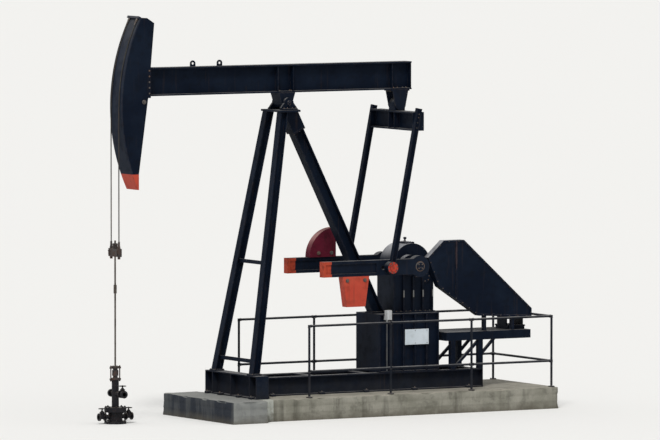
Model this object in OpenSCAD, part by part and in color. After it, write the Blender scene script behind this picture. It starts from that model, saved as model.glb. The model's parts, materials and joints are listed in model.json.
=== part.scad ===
// Conventional walking-beam pumping unit on its concrete base, with the well head in front.
// X runs from the well (-X) to the motor (+X), Y runs across and Z is up.
// The origin lies on the ground under the centre bearing.

/* [Concrete base] */
// Height of the concrete above the ground
slab_h = 470; // [300:10:700]
// Width of the long block under the skid
slab_w = 2600; // [2540:20:3000]
// Centre bearing to the rear end of the long block
slab_rear = 6100; // [6050:10:6800]
// Width of the wide block under the front legs
front_block_w = 3080; // [2700:20:3600]
// Length of the wide block
front_block_l = 850; // [500:10:1100]
// Centre bearing to the front end of the wide block
slab_front = 2080; // [1500:10:2600]

/* [Skid] */
// Width over the outer faces of the two rails
skid_w = 1000; // [940:10:1100]
// Height of the rails
rail_h = 400; // [340:10:480]
// Width of a rail's flanges
rail_flange_w = 200; // [120:10:260]
// Thickness of a rail's flanges
rail_flange_t = 26; // [16:2:40]
// Thickness of a rail's web
rail_web_t = 18; // [10:2:30]
// Centre bearing to the rear end of the rails
skid_rear = 4680; // [4660:10:5000]
// Number of cross members between the rails
cross_count = 5; // [3:1:7]
// Width of a cross member
cross_w = 160; // [100:10:220]

/* [Front cross beam] */
// Length of the cross beam under the front legs
front_beam_l = 2220; // [2000:20:2500]
// Width of the cross beam
front_beam_w = 300; // [280:10:360]
// Height of the cross beam
front_beam_h = 490; // [420:10:560]
// Centre bearing to the middle of the cross beam
front_beam_x = 1130; // [1000:10:1250]
// Thickness of the cross beam's plates
front_beam_t = 24; // [12:2:36]

/* [Samson post] */
// Distance between the two front legs at their feet, centre to centre
leg_spread = 1620; // [1500:20:1800]
// Distance between the two front legs at their tops, centre to centre
leg_top_spread = 610; // [560:10:700]
// Centre bearing to the front legs' centre at their tops
leg_top_x = 180; // [120:10:220]
// Depth and width of a front leg
leg_w = 175; // [150:5:180]
// Front legs' feet ahead of the middle of the cross beam
leg_ahead = 30; // [0:2:30]
// Thickness of the legs' flanges
leg_flange_t = 22; // [12:1:30]
// Thickness of the legs' webs
leg_web_t = 14; // [8:1:24]
// Thickness of the foot plates
foot_t = 30; // [16:2:50]
// Margin of a foot plate round its leg
foot_margin = 30; // [10:5:34]
// Height of the lower brace between the front legs
brace_low_z = 1250; // [1180:10:1600]
// Height of the upper brace between the front legs
brace_high_z = 3320; // [2600:10:4200]
// Height of a brace's section
brace_h = 80; // [60:5:160]
// Depth of the rear leg's section
rear_leg_w = 250; // [220:10:270]
// Width of the rear leg's flanges
rear_leg_flange_w = 250; // [180:10:280]
// Centre bearing to the rear leg's foot
rear_leg_foot_x = 2300; // [2290:10:2320]
// Centre bearing to the rear leg's top
rear_leg_top_x = 310; // [290:10:340]
// Length of the top plate
top_plate_l = 600; // [600:10:700]
// Thickness of the top plate
top_plate_t = 40; // [24:2:60]
// Depth of the bracket that holds the rear leg, below the top plate
rear_bracket_h = 400; // [340:10:480]

/* [Centre bearing] */
// Height of the beam's turning axis above the ground
axis_z = 6700; // [6300:10:7200]
// Height of the axis above the top plate
bearing_h = 150; // [140:5:200]
// Radius of the centre shaft
center_shaft_r = 62; // [40:1:80]
// Half the gap between the bearing's two ears
ear_gap = 205; // [180:5:240]
// Thickness of an ear
ear_t = 65; // [40:5:90]
// Clearance between an ear and the moving housing
side_gap = 10; // [6:1:20]
// Radial clearance of the running fits
fit_gap = 0.05; // [0.02:0.01:0.1]

/* [Walking beam] */
// Depth of the beam
beam_h = 600; // [500:10:760]
// Width of the beam's flanges
beam_w = 300; // [260:10:360]
// Thickness of the beam's flanges
beam_flange_t = 32; // [20:2:44]
// Thickness of the beam's web
beam_web_t = 20; // [12:2:30]
// Axis to the underside of the beam
beam_lift = 215; // [170:5:230]
// Axis to the rear end of the beam
beam_rear = 3100; // [3060:10:3300]
// Thickness of the beam's web stiffeners
stiffener_t = 16; // [10:2:30]
// Axis to the lifting lug nearer the horsehead
lug_x = 2200; // [1900:10:2400]
// Distance between the two lifting lugs
lug_step = 650; // [400:10:800]
// Height of a lifting lug above the beam
lug_h = 130; // [90:5:160]

/* [Horsehead] */
// Radius of the horsehead's face about the beam's axis
face_r = 4060; // [4000:10:4200]
// Width over the horsehead's two sides
head_w = 500; // [420:10:600]
// Thickness of the face plate
face_t = 24; // [12:2:36]
// Thickness of the side plates
side_t = 20; // [10:2:30]
// Angle of the face above the axis
face_up = 27.5; // [27.5:0.5:29]
// Angle of the face below the axis
face_down = 25.6; // [22:0.2:30]
// Depth of the head from its face to the beam's end
head_depth = 710; // [640:10:760]
// Depth of the head along its level top edge
head_top_w = 335; // [240:5:420]
// Depth of the head along its level bottom edge
head_toe_w = 22; // [10:2:60]
// Step forward of the head's rear edge under the beam
head_waist = 65; // [20:5:100]
// Height of the corner cut off the head's top at the rear
head_crown_h = 110; // [60:10:160]
// Length of that cut along the top
head_crown_l = 170; // [100:10:220]
// Height of the painted toe
toe_h = 330; // [240:10:420]
// Number of ribs between the sides
head_ribs = 5; // [3:1:8]
// Size of the bar across the top of the face that holds the wires
anchor_bar = 48; // [40:2:80]
// Radius of the sockets on the ends of the wrapped wires
socket_r = 24; // [18:1:30]
// Length of those sockets
socket_l = 150; // [100:5:200]

/* [Bridle] */
// Radius of each wire of the bridle
wire_r = 13; // [8:1:16]
// Distance between the two wires
wire_spread = 340; // [240:10:350]
// Gap between the hanging wires and the face
wire_lift = 7; // [5:1:12]
// Gap between the wrapped wires and the face they lie on
seat_gap = 0.3; // [0.1:0.1:0.5]
// Gap between the end of a hanging wire and its wrapped part
wire_end_gap = 0.9; // [0.7:0.1:0.9]
// Height of the carrier bar's underside above the ground
carrier_z = 3540; // [3400:10:3700]
// Height of the carrier bar
carrier_h = 170; // [100:10:180]
// Width of the carrier bar
carrier_w = 100; // [80:10:140]
// Length of the carrier bar across the wires
carrier_l = 410; // [400:10:500]

/* [Polished rod] */
// Radius of the polished rod
rod_r = 19; // [14:1:25]
// Rod end above the ground at rest
rod_end_z = 30; // [10:5:60]
// Height of the rod clamp
clamp_h = 110; // [80:5:140]
// Radius of the rod clamp
clamp_r = 54; // [44:1:60]
// Height of the rod coupling above the ground
coupling_z = 2760; // [2600:10:3000]
// Length of the rod coupling
coupling_l = 180; // [120:10:220]

/* [Well head] */
// Radius of the casing head
casing_r = 150; // [120:5:190]
// Height of the casing head
casing_h = 300; // [240:10:380]
// Radius of the casing flanges
casing_flange_r = 235; // [210:5:260]
// Thickness of the casing flanges
casing_flange_t = 48; // [30:2:60]
// Radius of the tubing tee
tee_r = 76; // [60:2:100]
// Height of the tubing tee's side outlets above the ground
tee_z = 640; // [600:10:700]
// Height of the stuffing box top above the ground
stuffing_z = 1220; // [1160:10:1300]
// Height of the stuffing box
stuffing_h = 290; // [240:10:320]
// Radius of the stuffing box
stuffing_r = 68; // [56:2:90]
// Radius of the passage round the rod inside the well head
passage_r = 40; // [32:1:50]
// Reach of the side valves from the well's axis
valve_reach = 400; // [340:10:460]
// Radius of the side pipes on the casing head and tee
side_pipe_r = 46; // [36:2:54]
// Radius of a side valve's body and flanges
valve_r = 82; // [70:2:92]
// Thickness of a side valve's flanges
valve_flange_t = 26; // [16:2:34]
// Height of a side valve's stem above the pipe
stem_h = 185; // [150:5:210]
// Radius of a side valve's stem
stem_r = 14; // [10:1:18]
// Radius of a side valve's hand wheel
hand_wheel_r = 80; // [70:5:90]
// Radius of the hand wheel's rim
wheel_rim_r = 9; // [7:1:12]

/* [Equalizer and pitmans] */
// Axis to the equalizer's axis, along the beam
equalizer_x = 2820; // [2780:10:2900]
// Equalizer's axis below the beam's axis
equalizer_drop = 100; // [90:5:120]
// Radius of the equalizer's pin
equalizer_pin_r = 55; // [40:1:70]
// Height of the equalizer beam
equalizer_h = 400; // [320:10:440]
// Width of the equalizer beam
equalizer_w = 280; // [220:10:300]
// Top of the equalizer beam below its axis
equalizer_seat = 140; // [135:5:170]
// Distance between the two pitmans, centre to centre
pitman_spread = 1900; // [1880:10:2000]
// Width of a pitman across its length
pitman_w = 120; // [100:5:150]
// Thickness of a pitman
pitman_t = 90; // [70:5:110]
// Wrist bearing's outer radius
wrist_r = 135; // [115:5:160]
// Length of a wrist bearing
wrist_l = 150; // [130:5:160]
// Gap left between a wrist bearing and its crank
wrist_gap = 6; // [5:0.5:12]

/* [Cranks] */
// Centre bearing to the crankshaft
crankshaft_x = 2900; // [2860:10:2960]
// Height of the crankshaft above the ground
crankshaft_z = 3150; // [3100:10:3200]
// Radius of the crankshaft
crankshaft_r = 110; // [80:5:130]
// Crankshaft to the crank pin
throw = 760; // [700:10:800]
// Step between the crank's spare pin holes
pin_hole_step = 160; // [150:10:200]
// Radius of a crank pin hole
pin_hole_r = 48; // [36:2:56]
// Crankshaft to the crank's tip
crank_l = 2390; // [2300:10:2460]
// Height of a crank
crank_h = 330; // [300:10:370]
// Thickness of a crank
crank_t = 160; // [120:5:170]
// Height of the raised edges along a crank
crank_edge_h = 65; // [50:5:85]
// Depth of the recess between the raised edges
crank_recess = 30; // [10:5:45]
// Distance between the two cranks, centre to centre
crank_spread = 1540; // [1500:10:1560]
// Radius of a crank's hub
hub_r = 230; // [200:5:260]

/* [Counterweights] */
// Crankshaft to the inner end of the near weight
near_weight_x = 1260; // [1200:10:1320]
// Length of the near weight along its crank
near_weight_l = 650; // [560:10:720]
// Depth of the near weight away from its crank
near_weight_h = 650; // [520:10:700]
// Length of the near weight at its outer edge
near_weight_tip = 460; // [380:10:520]
// Crankshaft to the inner end of the far weight
far_weight_x = 1210; // [1160:10:1260]
// Length of the far weight along its crank
far_weight_l = 650; // [640:10:760]
// Height of the far weight above its crank
far_weight_h = 630; // [520:10:630]
// Thickness of the weights
weight_t = 190; // [140:5:200]

/* [Pedestal and gear reducer] */
// Centre bearing to the front of the pedestal
pedestal_x = 2100; // [2090:5:2110]
// Length of the pedestal
pedestal_l = 1480; // [1470:10:1600]
// Top of the pedestal above the ground
pedestal_z = 2120; // [2060:10:2180]
// Thickness of the pedestal's plates
pedestal_t = 25; // [14:1:40]
// Number of stiffeners on each side of the pedestal
pedestal_ribs = 6; // [3:1:9]
// Reach of a stiffener from the pedestal's side
pedestal_rib_reach = 60; // [30:5:80]
// Centre bearing to the front of the reducer
reducer_x = 2490; // [2470:10:2500]
// Length of the reducer
reducer_l = 1080; // [1060:10:1090]
// Width of the reducer
reducer_w = 700; // [640:10:760]
// Centre bearing to the middle of the cover's round top
dome_x = 3020; // [3000:10:3050]
// Radius of the cover's round top
dome_r = 460; // [400:10:470]
// Reach of the crankshaft's bearing bosses past the housing
boss_reach = 100; // [60:5:150]
// Reach of the flange where the cover meets the housing
split_reach = 45; // [30:5:60]
// Thickness of that flange on each half
split_t = 34; // [20:2:50]
// Number of ribs on each side of the reducer
reducer_ribs = 5; // [3:1:7]
// Length of the inspection lid on top of the cover
lid_l = 200; // [140:10:260]
// Width of that lid
lid_w = 460; // [300:10:560]
// Height of the inspection lid above the cover
lid_t = 24; // [14:2:34]
// Radius of the bearing caps of the two smaller shafts
cap_r = 105; // [80:5:120]
// Thickness of the bearing caps
cap_t = 30; // [16:2:40]

/* [Belt guard] */
// Thickness of the belt guard across the machine
guard_t = 175; // [140:5:185]
// Height of the guard's small end
guard_tail_h = 190; // [150:10:260]
// Centre bearing to the guard's rear end
guard_rear_x = 5890; // [5850:10:5890]
// Height of the guard's rear end above the ground
guard_rear_z = 2130; // [2100:10:2160]
// Height of the guard's top above the ground
guard_top_z = 3660; // [3600:10:3700]
// Centre bearing to the front end of the guard's top edge
guard_top_x = 3680; // [3620:10:3740]
// Length of the guard's top edge
guard_top_l = 510; // [420:10:600]
// Centre bearing to the guard's front corner
guard_nose_x = 3290; // [3240:10:3340]
// Height of the guard's front corner above the ground
guard_nose_z = 3305; // [3250:5:3360]
// Centre bearing to the corner below the front one
guard_chin_x = 3560; // [3500:10:3620]
// Height of that corner above the ground
guard_chin_z = 2670; // [2600:10:2740]
// Centre bearing to the lowest corner of the large end
guard_belly_x = 4560; // [4500:10:4620]
// Height of that corner above the ground
guard_belly_z = 2010; // [1980:10:2040]
// Centre bearing to the bar across the guard's outer face
guard_seam_x = 4000; // [3900:10:4200]
// Width of the rim round the guard's outer face
guard_rim = 40; // [20:2:60]
// Height of that rim above the face
guard_rim_h = 14; // [6:1:20]
// Clearance between the guard and the reducer's flanges
guard_gap = 5; // [4:1:10]

/* [Motor and its platform] */
// Centre bearing to the front of the platform
platform_x = 3770; // [3740:10:3850]
// Length of the platform
platform_l = 2110; // [2050:10:2180]
// Width of the platform
platform_w = 1000; // [900:10:1080]
// Top of the platform above the ground
platform_z = 1670; // [1620:10:1720]
// Height of the platform's frame
platform_t = 180; // [140:10:220]
// Width of the platform's posts
post_w = 110; // [80:5:140]
// Radius of the motor's body
motor_r = 215; // [180:5:230]
// Length of the motor's body
motor_l = 560; // [480:10:600]
// Centre bearing to the motor's axis
motor_x = 5640; // [5560:10:5660]
// Height of the motor's axis above the platform
motor_h = 430; // [420:5:450]
// Number of cooling fins round the motor
motor_fins = 20; // [12:2:28]
// Height of the cooling fins
fin_h = 28; // [16:2:40]
// Thickness of the cooling fins
fin_t = 9; // [6:1:12]
// Length of the end bell at each end of the motor
bell_l = 90; // [60:5:120]
// Radius of the motor's shaft
motor_shaft_r = 34; // [24:2:44]
// Gap between the belt guard and the motor's body
motor_gap = 40; // [30:5:60]
// Side of the motor's terminal box
terminal_box = 170; // [120:5:200]
// Reach of the braces under the platform's overhang
knee_reach = 330; // [200:10:420]
// Number of post pairs under the platform
post_pairs = 2; // [2:1:3]

/* [Guard rails] */
// Side rails' centre lines in from the sides of the long block
fence_inset = 80; // [75:5:120]
// Top of the guard rails above the concrete
fence_h = 1550; // [1200:10:1600]
// Height of the lower rail above the concrete
fence_low = 560; // [500:10:700]
// Radius of the pipes
pipe_r = 25; // [16:1:32]
// Rear rail's centre line ahead of the rear end of the long block
fence_end = 130; // [90:5:140]
// Centre bearing to the near rail's first post
fence_near_x = -50; // [-200:10:200]
// Centre bearing to the far rail's first post, towards the well
fence_far_x = 390; // [200:10:600]
// Length of the far rail's first bay
fence_first_bay = 1860; // [1500:20:2200]
// Number of bays on each side
fence_bays = 3; // [2:1:4]
// Radius of a post's foot plate
fence_foot_r = 70; // [50:5:80]
// Thickness of a post's foot plate
fence_foot_t = 14; // [8:1:20]

/* [Switch box] */
// Centre bearing to the middle of the switch box
switch_x = 2290; // [2240:10:2320]
// Width of the switch box
switch_w = 130; // [100:10:180]
// Height of the switch box
switch_h = 210; // [160:10:260]
// Depth of the switch box
switch_t = 90; // [60:5:120]
// Height of the switch box's top above the pedestal
switch_rise = 90; // [40:5:120]
// Radius of the conduit below the switch box
conduit_r = 16; // [10:1:20]

/* [Hidden] */
$fn = 64;
// Smoothness of the large arcs
arc_fn = 360;
// A length beyond every cut
far = 20000;
skid_top = slab_h + rail_h;
rail_y = (skid_w - rail_flange_w) / 2;
front_beam_top = slab_h + front_beam_h;
bearing_l = 2.6 * bearing_h;
plate_top = axis_z - bearing_h;
plate_low = plate_top - top_plate_t;
leg_foot_x = -front_beam_x - leg_ahead;
top_plate_x = -leg_top_x - leg_w / 2 - foot_margin;
top_plate_w = leg_top_spread + leg_w + 2 * foot_margin;
beam_low = axis_z + beam_lift;
beam_top = beam_low + beam_h;
wire_x = face_r + wire_r + wire_lift;
carrier_top = carrier_z + carrier_h;
beam_front = face_r - head_depth;
back_top_x = face_r * cos(face_up) - head_top_w;
back_toe_x = face_r * cos(face_down) - head_toe_w;
face_top_z = face_r * sin(face_up);
face_low_z = -face_r * sin(face_down);
equalizer_z = axis_z - equalizer_drop;
equalizer_top = equalizer_z - equalizer_seat;
equalizer_low = equalizer_top - equalizer_h;
pitman_y = pitman_spread / 2;
wrist_x = crankshaft_x - throw;
crank_y = crank_spread / 2;
crank_out = crank_y + crank_t / 2;
pitman_dx = equalizer_x - wrist_x;
pitman_dz = equalizer_z - crankshaft_z;
pitman_lean = atan2(pitman_dx, pitman_dz);

// A point on the line from a to b at height z.
function at_z(a, b, z) = a + (b - a) * (z - a[2]) / (b[2] - a[2]);

// An I-shaped outline centred on the origin, with its flanges across X.
module i_section(depth, width, flange_t, web_t) {
    union() {
        for (side = [-1, 1])
            translate([side * (depth - flange_t) / 2, 0]) square([flange_t, width], center = true);
        square([depth - flange_t, web_t], center = true);
    }
}

// A straight I-beam from point a to point b, with its ends cut level at the heights of a and b.
module leaning_beam(a, b, depth, width, flange_t, web_t) {
    run = b - a;
    span = norm(run);
    lean = acos(run[2] / span);
    turn = atan2(run[1], run[0]);
    intersection() {
        translate(a) rotate([0, lean, turn]) rotate([0, 0, -turn])
            translate([0, 0, -depth]) linear_extrude(span + 2 * depth)
                i_section(depth, width, flange_t, web_t);
        translate([-far / 2, -far / 2, a[2]]) cube([far, far, b[2] - a[2]]);
    }
}

// An I-beam that lies along X with its web upright.
module beam_along_x(x0, x1, y, z0, height, width, flange_t, web_t) {
    translate([x0, y, z0 + height / 2]) rotate([0, 90, 0])
        linear_extrude(x1 - x0) i_section(height, width, flange_t, web_t);
}

// An I-beam that lies along Y between two faces, with its web upright.
module beam_along_y(y0, y1, x, z0, height, width, flange_t, web_t) {
    translate([x, y0, z0 + height / 2]) rotate([-90, 0, 0])
        linear_extrude(y1 - y0) rotate(90) i_section(height, width, flange_t, web_t);
}

// A cylinder along Y between two faces.
module round_y(r, y0, y1) {
    translate([0, y1, 0]) rotate([90, 0, 0]) cylinder(r = r, h = y1 - y0);
}

// An outline drawn in X and Z, given its thickness along Y from y0 to y1.
module plate_y(y0, y1) {
    translate([0, y1, 0]) rotate([90, 0, 0]) linear_extrude(y1 - y0) children();
}

// CONCRETE BASE

module foundation() {
    color("darkgray") linear_extrude(slab_h) polygon([
        [-slab_front, -front_block_w / 2], [-slab_front + front_block_l, -front_block_w / 2],
        [-slab_front + front_block_l, -slab_w / 2], [slab_rear, -slab_w / 2],
        [slab_rear, slab_w / 2], [-slab_front + front_block_l, slab_w / 2],
        [-slab_front + front_block_l, front_block_w / 2], [-slab_front, front_block_w / 2]
    ]);
}

// SKID

module front_cross_beam() {
    box_x = -front_beam_x - front_beam_w / 2;
    color("midnightblue") union() {
        beam_along_y(-front_beam_l / 2, front_beam_l / 2, -front_beam_x, slab_h, front_beam_h,
            front_beam_w, front_beam_t, front_beam_t);
        // End plates and the stiffeners under the legs
        for (y = [-front_beam_l / 2, -leg_spread / 2, 0, leg_spread / 2 - front_beam_t,
                front_beam_l / 2 - front_beam_t])
            translate([box_x, y, slab_h]) cube([front_beam_w, front_beam_t, front_beam_h]);
    }
}

module skid_rail(side) {
    color("midnightblue") union() {
        beam_along_x(-front_beam_x + front_beam_w / 2, skid_rear, side * rail_y, slab_h, rail_h,
            rail_flange_w, rail_flange_t, rail_web_t);
        // Plate that closes the rail's rear end
        translate([skid_rear - rail_web_t, side * rail_y - rail_flange_w / 2, slab_h])
            cube([rail_web_t, rail_flange_w, rail_h]);
    }
}

module skid_cross_members() {
    inner_y = skid_w / 2 - rail_flange_w;
    first = -front_beam_x + front_beam_w;
    last = skid_rear - cross_w;
    color("midnightblue") for (i = [0 : cross_count - 1])
        beam_along_y(-inner_y, inner_y, first + (last - first) * i / (cross_count - 1), slab_h,
            rail_h, cross_w, rail_flange_t, rail_web_t);
}

// SAMSON POST

module samson_leg(side) {
    foot = [leg_foot_x, side * leg_spread / 2, front_beam_top + foot_t];
    head = [-leg_top_x, side * leg_top_spread / 2, plate_low];
    pad = leg_w + 2 * foot_margin;
    color("midnightblue") union() {
        leaning_beam(foot, head, leg_w, leg_w, leg_flange_t, leg_web_t);
        translate([foot[0] - pad / 2, foot[1] - pad / 2, front_beam_top]) cube([pad, pad, foot_t]);
    }
}

// A point of a front leg's centre line at height z.
function leg_at(z) = at_z(
    [leg_foot_x, leg_spread / 2, front_beam_top + foot_t],
    [-leg_top_x, leg_top_spread / 2, plate_low], z);

module samson_braces() {
    color("midnightblue") for (z = [brace_low_z, brace_high_z]) {
        // Each brace reaches the webs of the two legs, which cut its ends
        low = leg_at(z - brace_h / 2);
        high = leg_at(z + brace_h / 2);
        difference() {
            translate([leg_at(z)[0] - leg_web_t, 0, 0]) rotate([90, 0, 90])
                linear_extrude(2 * leg_web_t) polygon([
                    [-low[1], z - brace_h / 2], [low[1], z - brace_h / 2],
                    [high[1], z + brace_h / 2], [-high[1], z + brace_h / 2]
                ]);
            samson_leg(-1);
            samson_leg(1);
        }
    }
}

rear_leg_foot = [rear_leg_foot_x, 0, pedestal_z];
rear_leg_top = [rear_leg_top_x, 0, plate_low - rear_bracket_h];
rear_leg_lean = atan2(rear_leg_foot[0] - rear_leg_top[0], rear_leg_top[2] - rear_leg_foot[2]);
rear_leg_run = norm(rear_leg_foot - rear_leg_top);
rear_flange_l = rear_leg_w + 2 * foot_margin;

module samson_rear_leg() {
    color("midnightblue") union() {
        intersection() {
            translate(rear_leg_top) rotate([0, 180 - rear_leg_lean, 0])
                linear_extrude(rear_leg_run + rear_leg_w)
                    i_section(rear_leg_w, rear_leg_flange_w, leg_flange_t, leg_web_t);
            translate([-far / 2, -far / 2, pedestal_z + foot_t]) cube([far, far, far]);
        }
        // Flange square to the leg at its top
        translate(rear_leg_top) rotate([0, 180 - rear_leg_lean, 0])
            translate([-rear_flange_l / 2, -rear_leg_flange_w / 2 - foot_margin, 0])
                cube([rear_flange_l, rear_leg_flange_w + 2 * foot_margin, foot_t]);
        // Foot plate on the pedestal
        translate([rear_leg_foot_x - rear_leg_w / 2 - 2 * foot_margin,
                -rear_leg_flange_w / 2 - foot_margin, pedestal_z])
            cube([rear_leg_w + 3 * foot_margin, rear_leg_flange_w + 2 * foot_margin, foot_t]);
    }
}

module samson_top_plate() {
    bracket_w = rear_leg_flange_w + 2 * foot_margin;
    color("midnightblue") union() {
        // The plate narrows from the bearing to the bracket
        translate([0, 0, plate_low]) linear_extrude(top_plate_t) polygon([
            [top_plate_x, -top_plate_w / 2], [bearing_l / 2, -top_plate_w / 2],
            [top_plate_x + top_plate_l, -bracket_w / 2], [top_plate_x + top_plate_l, bracket_w / 2],
            [bearing_l / 2, top_plate_w / 2], [top_plate_x, top_plate_w / 2]
        ]);
        // Bracket behind the plate, whose sloped end meets the rear leg's flange
        difference() {
            translate([rear_leg_top_x - 2 * rear_leg_w, -bracket_w / 2, rear_leg_top[2] - rear_leg_w])
                cube([3 * rear_leg_w, bracket_w, rear_bracket_h + rear_leg_w]);
            // Everything beyond the sloped joint
            translate(rear_leg_top) rotate([0, 180 - rear_leg_lean, 0])
                translate([-far / 2, -far / 2, 0]) cube([far, far, far]);
            // Everything in front of and behind the leg's line
            translate(rear_leg_top) rotate([0, 180 - rear_leg_lean, 0])
                for (x = [-rear_flange_l / 2 - far, rear_flange_l / 2])
                    translate([x, -far / 2, -far / 2]) cube([far, far, far]);
        }
    }
}

// CENTRE BEARING

module center_bearing_base() {
    color("midnightblue") translate([0, 0, axis_z]) union() {
        for (side = [-1, 1]) {
            y = side > 0 ? ear_gap : -ear_gap - ear_t;
            // Each ear is a tapered cheek with a round top
            plate_y(y, y + ear_t) polygon([
                [-bearing_l / 2, -bearing_h], [bearing_l / 2, -bearing_h],
                [bearing_l / 2, -bearing_h * 0.7], [0.75 * bearing_h, 0],
                [-0.75 * bearing_h, 0], [-bearing_l / 2, -bearing_h * 0.7]
            ]);
            round_y(0.75 * bearing_h, y, y + ear_t);
        }
        round_y(center_shaft_r, -ear_gap - ear_t, ear_gap + ear_t);
    }
}

module saddle_bearing() {
    housing_y = ear_gap - side_gap;
    color("midnightblue") translate([0, 0, axis_z]) difference() {
        union() {
            round_y(0.85 * bearing_h, -housing_y, housing_y);
            // Saddle that carries the beam
            plate_y(-housing_y, housing_y) polygon([
                [-0.85 * bearing_h, 0], [0.85 * bearing_h, 0], [1.3 * bearing_h, beam_lift],
                [-1.3 * bearing_h, beam_lift]
            ]);
        }
        round_y(center_shaft_r + fit_gap, -far, far);
    }
}

// WALKING BEAM AND HORSEHEAD

module walking_beam() {
    color("midnightblue") union() {
        beam_along_x(-beam_front, beam_rear, 0, beam_low, beam_h, beam_w, beam_flange_t, beam_web_t);
        // Web stiffeners over the bearings and at both ends
        for (x = [-beam_front, -1.3 * bearing_h, 1.3 * bearing_h - stiffener_t,
                equalizer_x - 1.3 * bearing_h, beam_rear - stiffener_t])
            translate([x, -beam_w / 2 + beam_web_t, beam_low])
                cube([stiffener_t, beam_w - 2 * beam_web_t, beam_h]);
    }
}

// Outline of the horsehead's side in X and Z about the beam's axis, wider than the face's arc.
module head_outline() {
    polygon([
        [-face_r - wire_r, face_low_z], [-back_toe_x, face_low_z], [-back_toe_x, face_low_z + toe_h],
        [-beam_front - head_waist, beam_lift - beam_flange_t], [-beam_front, beam_lift - beam_flange_t],
        [-beam_front, beam_lift + beam_h + beam_flange_t], [-back_top_x, face_top_z - head_crown_h],
        [-back_top_x - head_crown_l, face_top_z], [-face_r - wire_r, face_top_z]
    ]);
}

module head_side(y0, y1, r) {
    intersection() {
        plate_y(y0, y1) head_outline();
        translate([0, y1, 0]) rotate([90, 0, 0]) cylinder(r = r, h = y1 - y0, $fn = arc_fn);
    }
}

module horsehead_frame() {
    inner_r = face_r - face_t;
    toe_z = face_low_z + toe_h;
    color("midnightblue") translate([0, 0, axis_z]) intersection() {
        union() {
            head_side(-head_w / 2, -head_w / 2 + side_t, inner_r);
            head_side(head_w / 2 - side_t, head_w / 2, inner_r);
            intersection() {
                head_side(-head_w / 2, head_w / 2, inner_r);
                union() {
                    // Plate against the beam's end
                    translate([-beam_front - side_t, -head_w / 2, beam_lift - beam_flange_t])
                        cube([side_t, head_w, beam_h + 2 * beam_flange_t]);
                    // Level ribs that tie the two sides together
                    for (i = [0 : head_ribs])
                        translate([-far / 2, -head_w / 2,
                                toe_z + (face_top_z - side_t - toe_z) * i / head_ribs])
                            cube([far, head_w, side_t]);
                }
            }
        }
        // The painted toe is a piece of its own
        translate([-far / 2, -far / 2, toe_z]) cube([far, far, far]);
    }
}

module horsehead_face() {
    toe_z = face_low_z + toe_h;
    color("midnightblue") translate([0, 0, axis_z]) union() {
        intersection() {
            difference() {
                head_side(-head_w / 2, head_w / 2, face_r);
                translate([0, far / 2, 0]) rotate([90, 0, 0])
                    cylinder(r = face_r - face_t, h = far, $fn = arc_fn);
            }
            translate([-far / 2, -far / 2, toe_z]) cube([far, far, far]);
        }
        // Bar across the top of the face, above the wires' sockets
        rotate([0, face_up, 0]) translate([-face_r - anchor_bar, -head_w / 2, -face_t])
            cube([anchor_bar + face_t / 2, head_w, anchor_bar]);
    }
}

module horsehead_toe() {
    color("orangered") translate([0, 0, axis_z]) intersection() {
        head_side(-head_w / 2, head_w / 2, face_r);
        translate([-far / 2, -far / 2, -far + face_low_z + toe_h]) cube([far, far, far]);
    }
}

// Angle at which the wrapped wires end, under the anchor bar
wrap_up = face_up - asin((face_t + wire_end_gap) / face_r);

module bridle_wrap() {
    color("dimgray") translate([0, 0, axis_z]) for (side = [-1, 1])
        translate([0, side * wire_spread / 2, 0]) union() {
            rotate([90, 0, 0]) rotate([0, 0, 180 - wrap_up]) rotate_extrude(angle = wrap_up, $fn = arc_fn)
                translate([face_r + wire_r + seat_gap, 0]) circle(r = wire_r, $fn = 24);
            // Socket on the wire's end, tangent to the face at its middle
            rotate([0, wrap_up - asin(socket_l / 2 / face_r), 0])
                translate([-face_r - socket_r - seat_gap, 0, -socket_l / 2])
                    cylinder(r = socket_r, h = socket_l);
        }
}

module lifting_lugs() {
    color("midnightblue") for (x = [-lug_x, lug_step - lug_x])
        translate([x, 0, beam_top]) difference() {
            union() {
                plate_y(-stiffener_t / 2, stiffener_t / 2)
                    translate([-lug_h / 2, 0]) square([lug_h, lug_h / 2]);
                translate([0, 0, lug_h / 2]) round_y(lug_h / 2, -stiffener_t / 2, stiffener_t / 2);
            }
            translate([0, 0, lug_h / 2]) round_y(lug_h / 5, -far, far);
        }
}

module equalizer_bracket() {
    ear_y = equalizer_w / 2 - side_gap;
    ear_r = equalizer_seat - side_gap;
    rise = beam_lift + equalizer_drop;
    color("midnightblue") translate([equalizer_x, 0, equalizer_z]) union() {
        // Plate under the beam
        translate([-1.7 * ear_r, -ear_y - foot_t, rise - foot_t])
            cube([3.4 * ear_r, 2 * (ear_y + foot_t), foot_t]);
        for (y = [-ear_y - foot_t, ear_y]) {
            plate_y(y, y + foot_t) polygon([
                [-ear_r, 0], [ear_r, 0], [1.5 * ear_r, rise], [-1.5 * ear_r, rise]
            ]);
            round_y(ear_r, y, y + foot_t);
        }
        round_y(equalizer_pin_r, -ear_y - foot_t, ear_y + foot_t);
    }
}

// EQUALIZER, PITMANS AND WRIST BEARINGS

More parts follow.
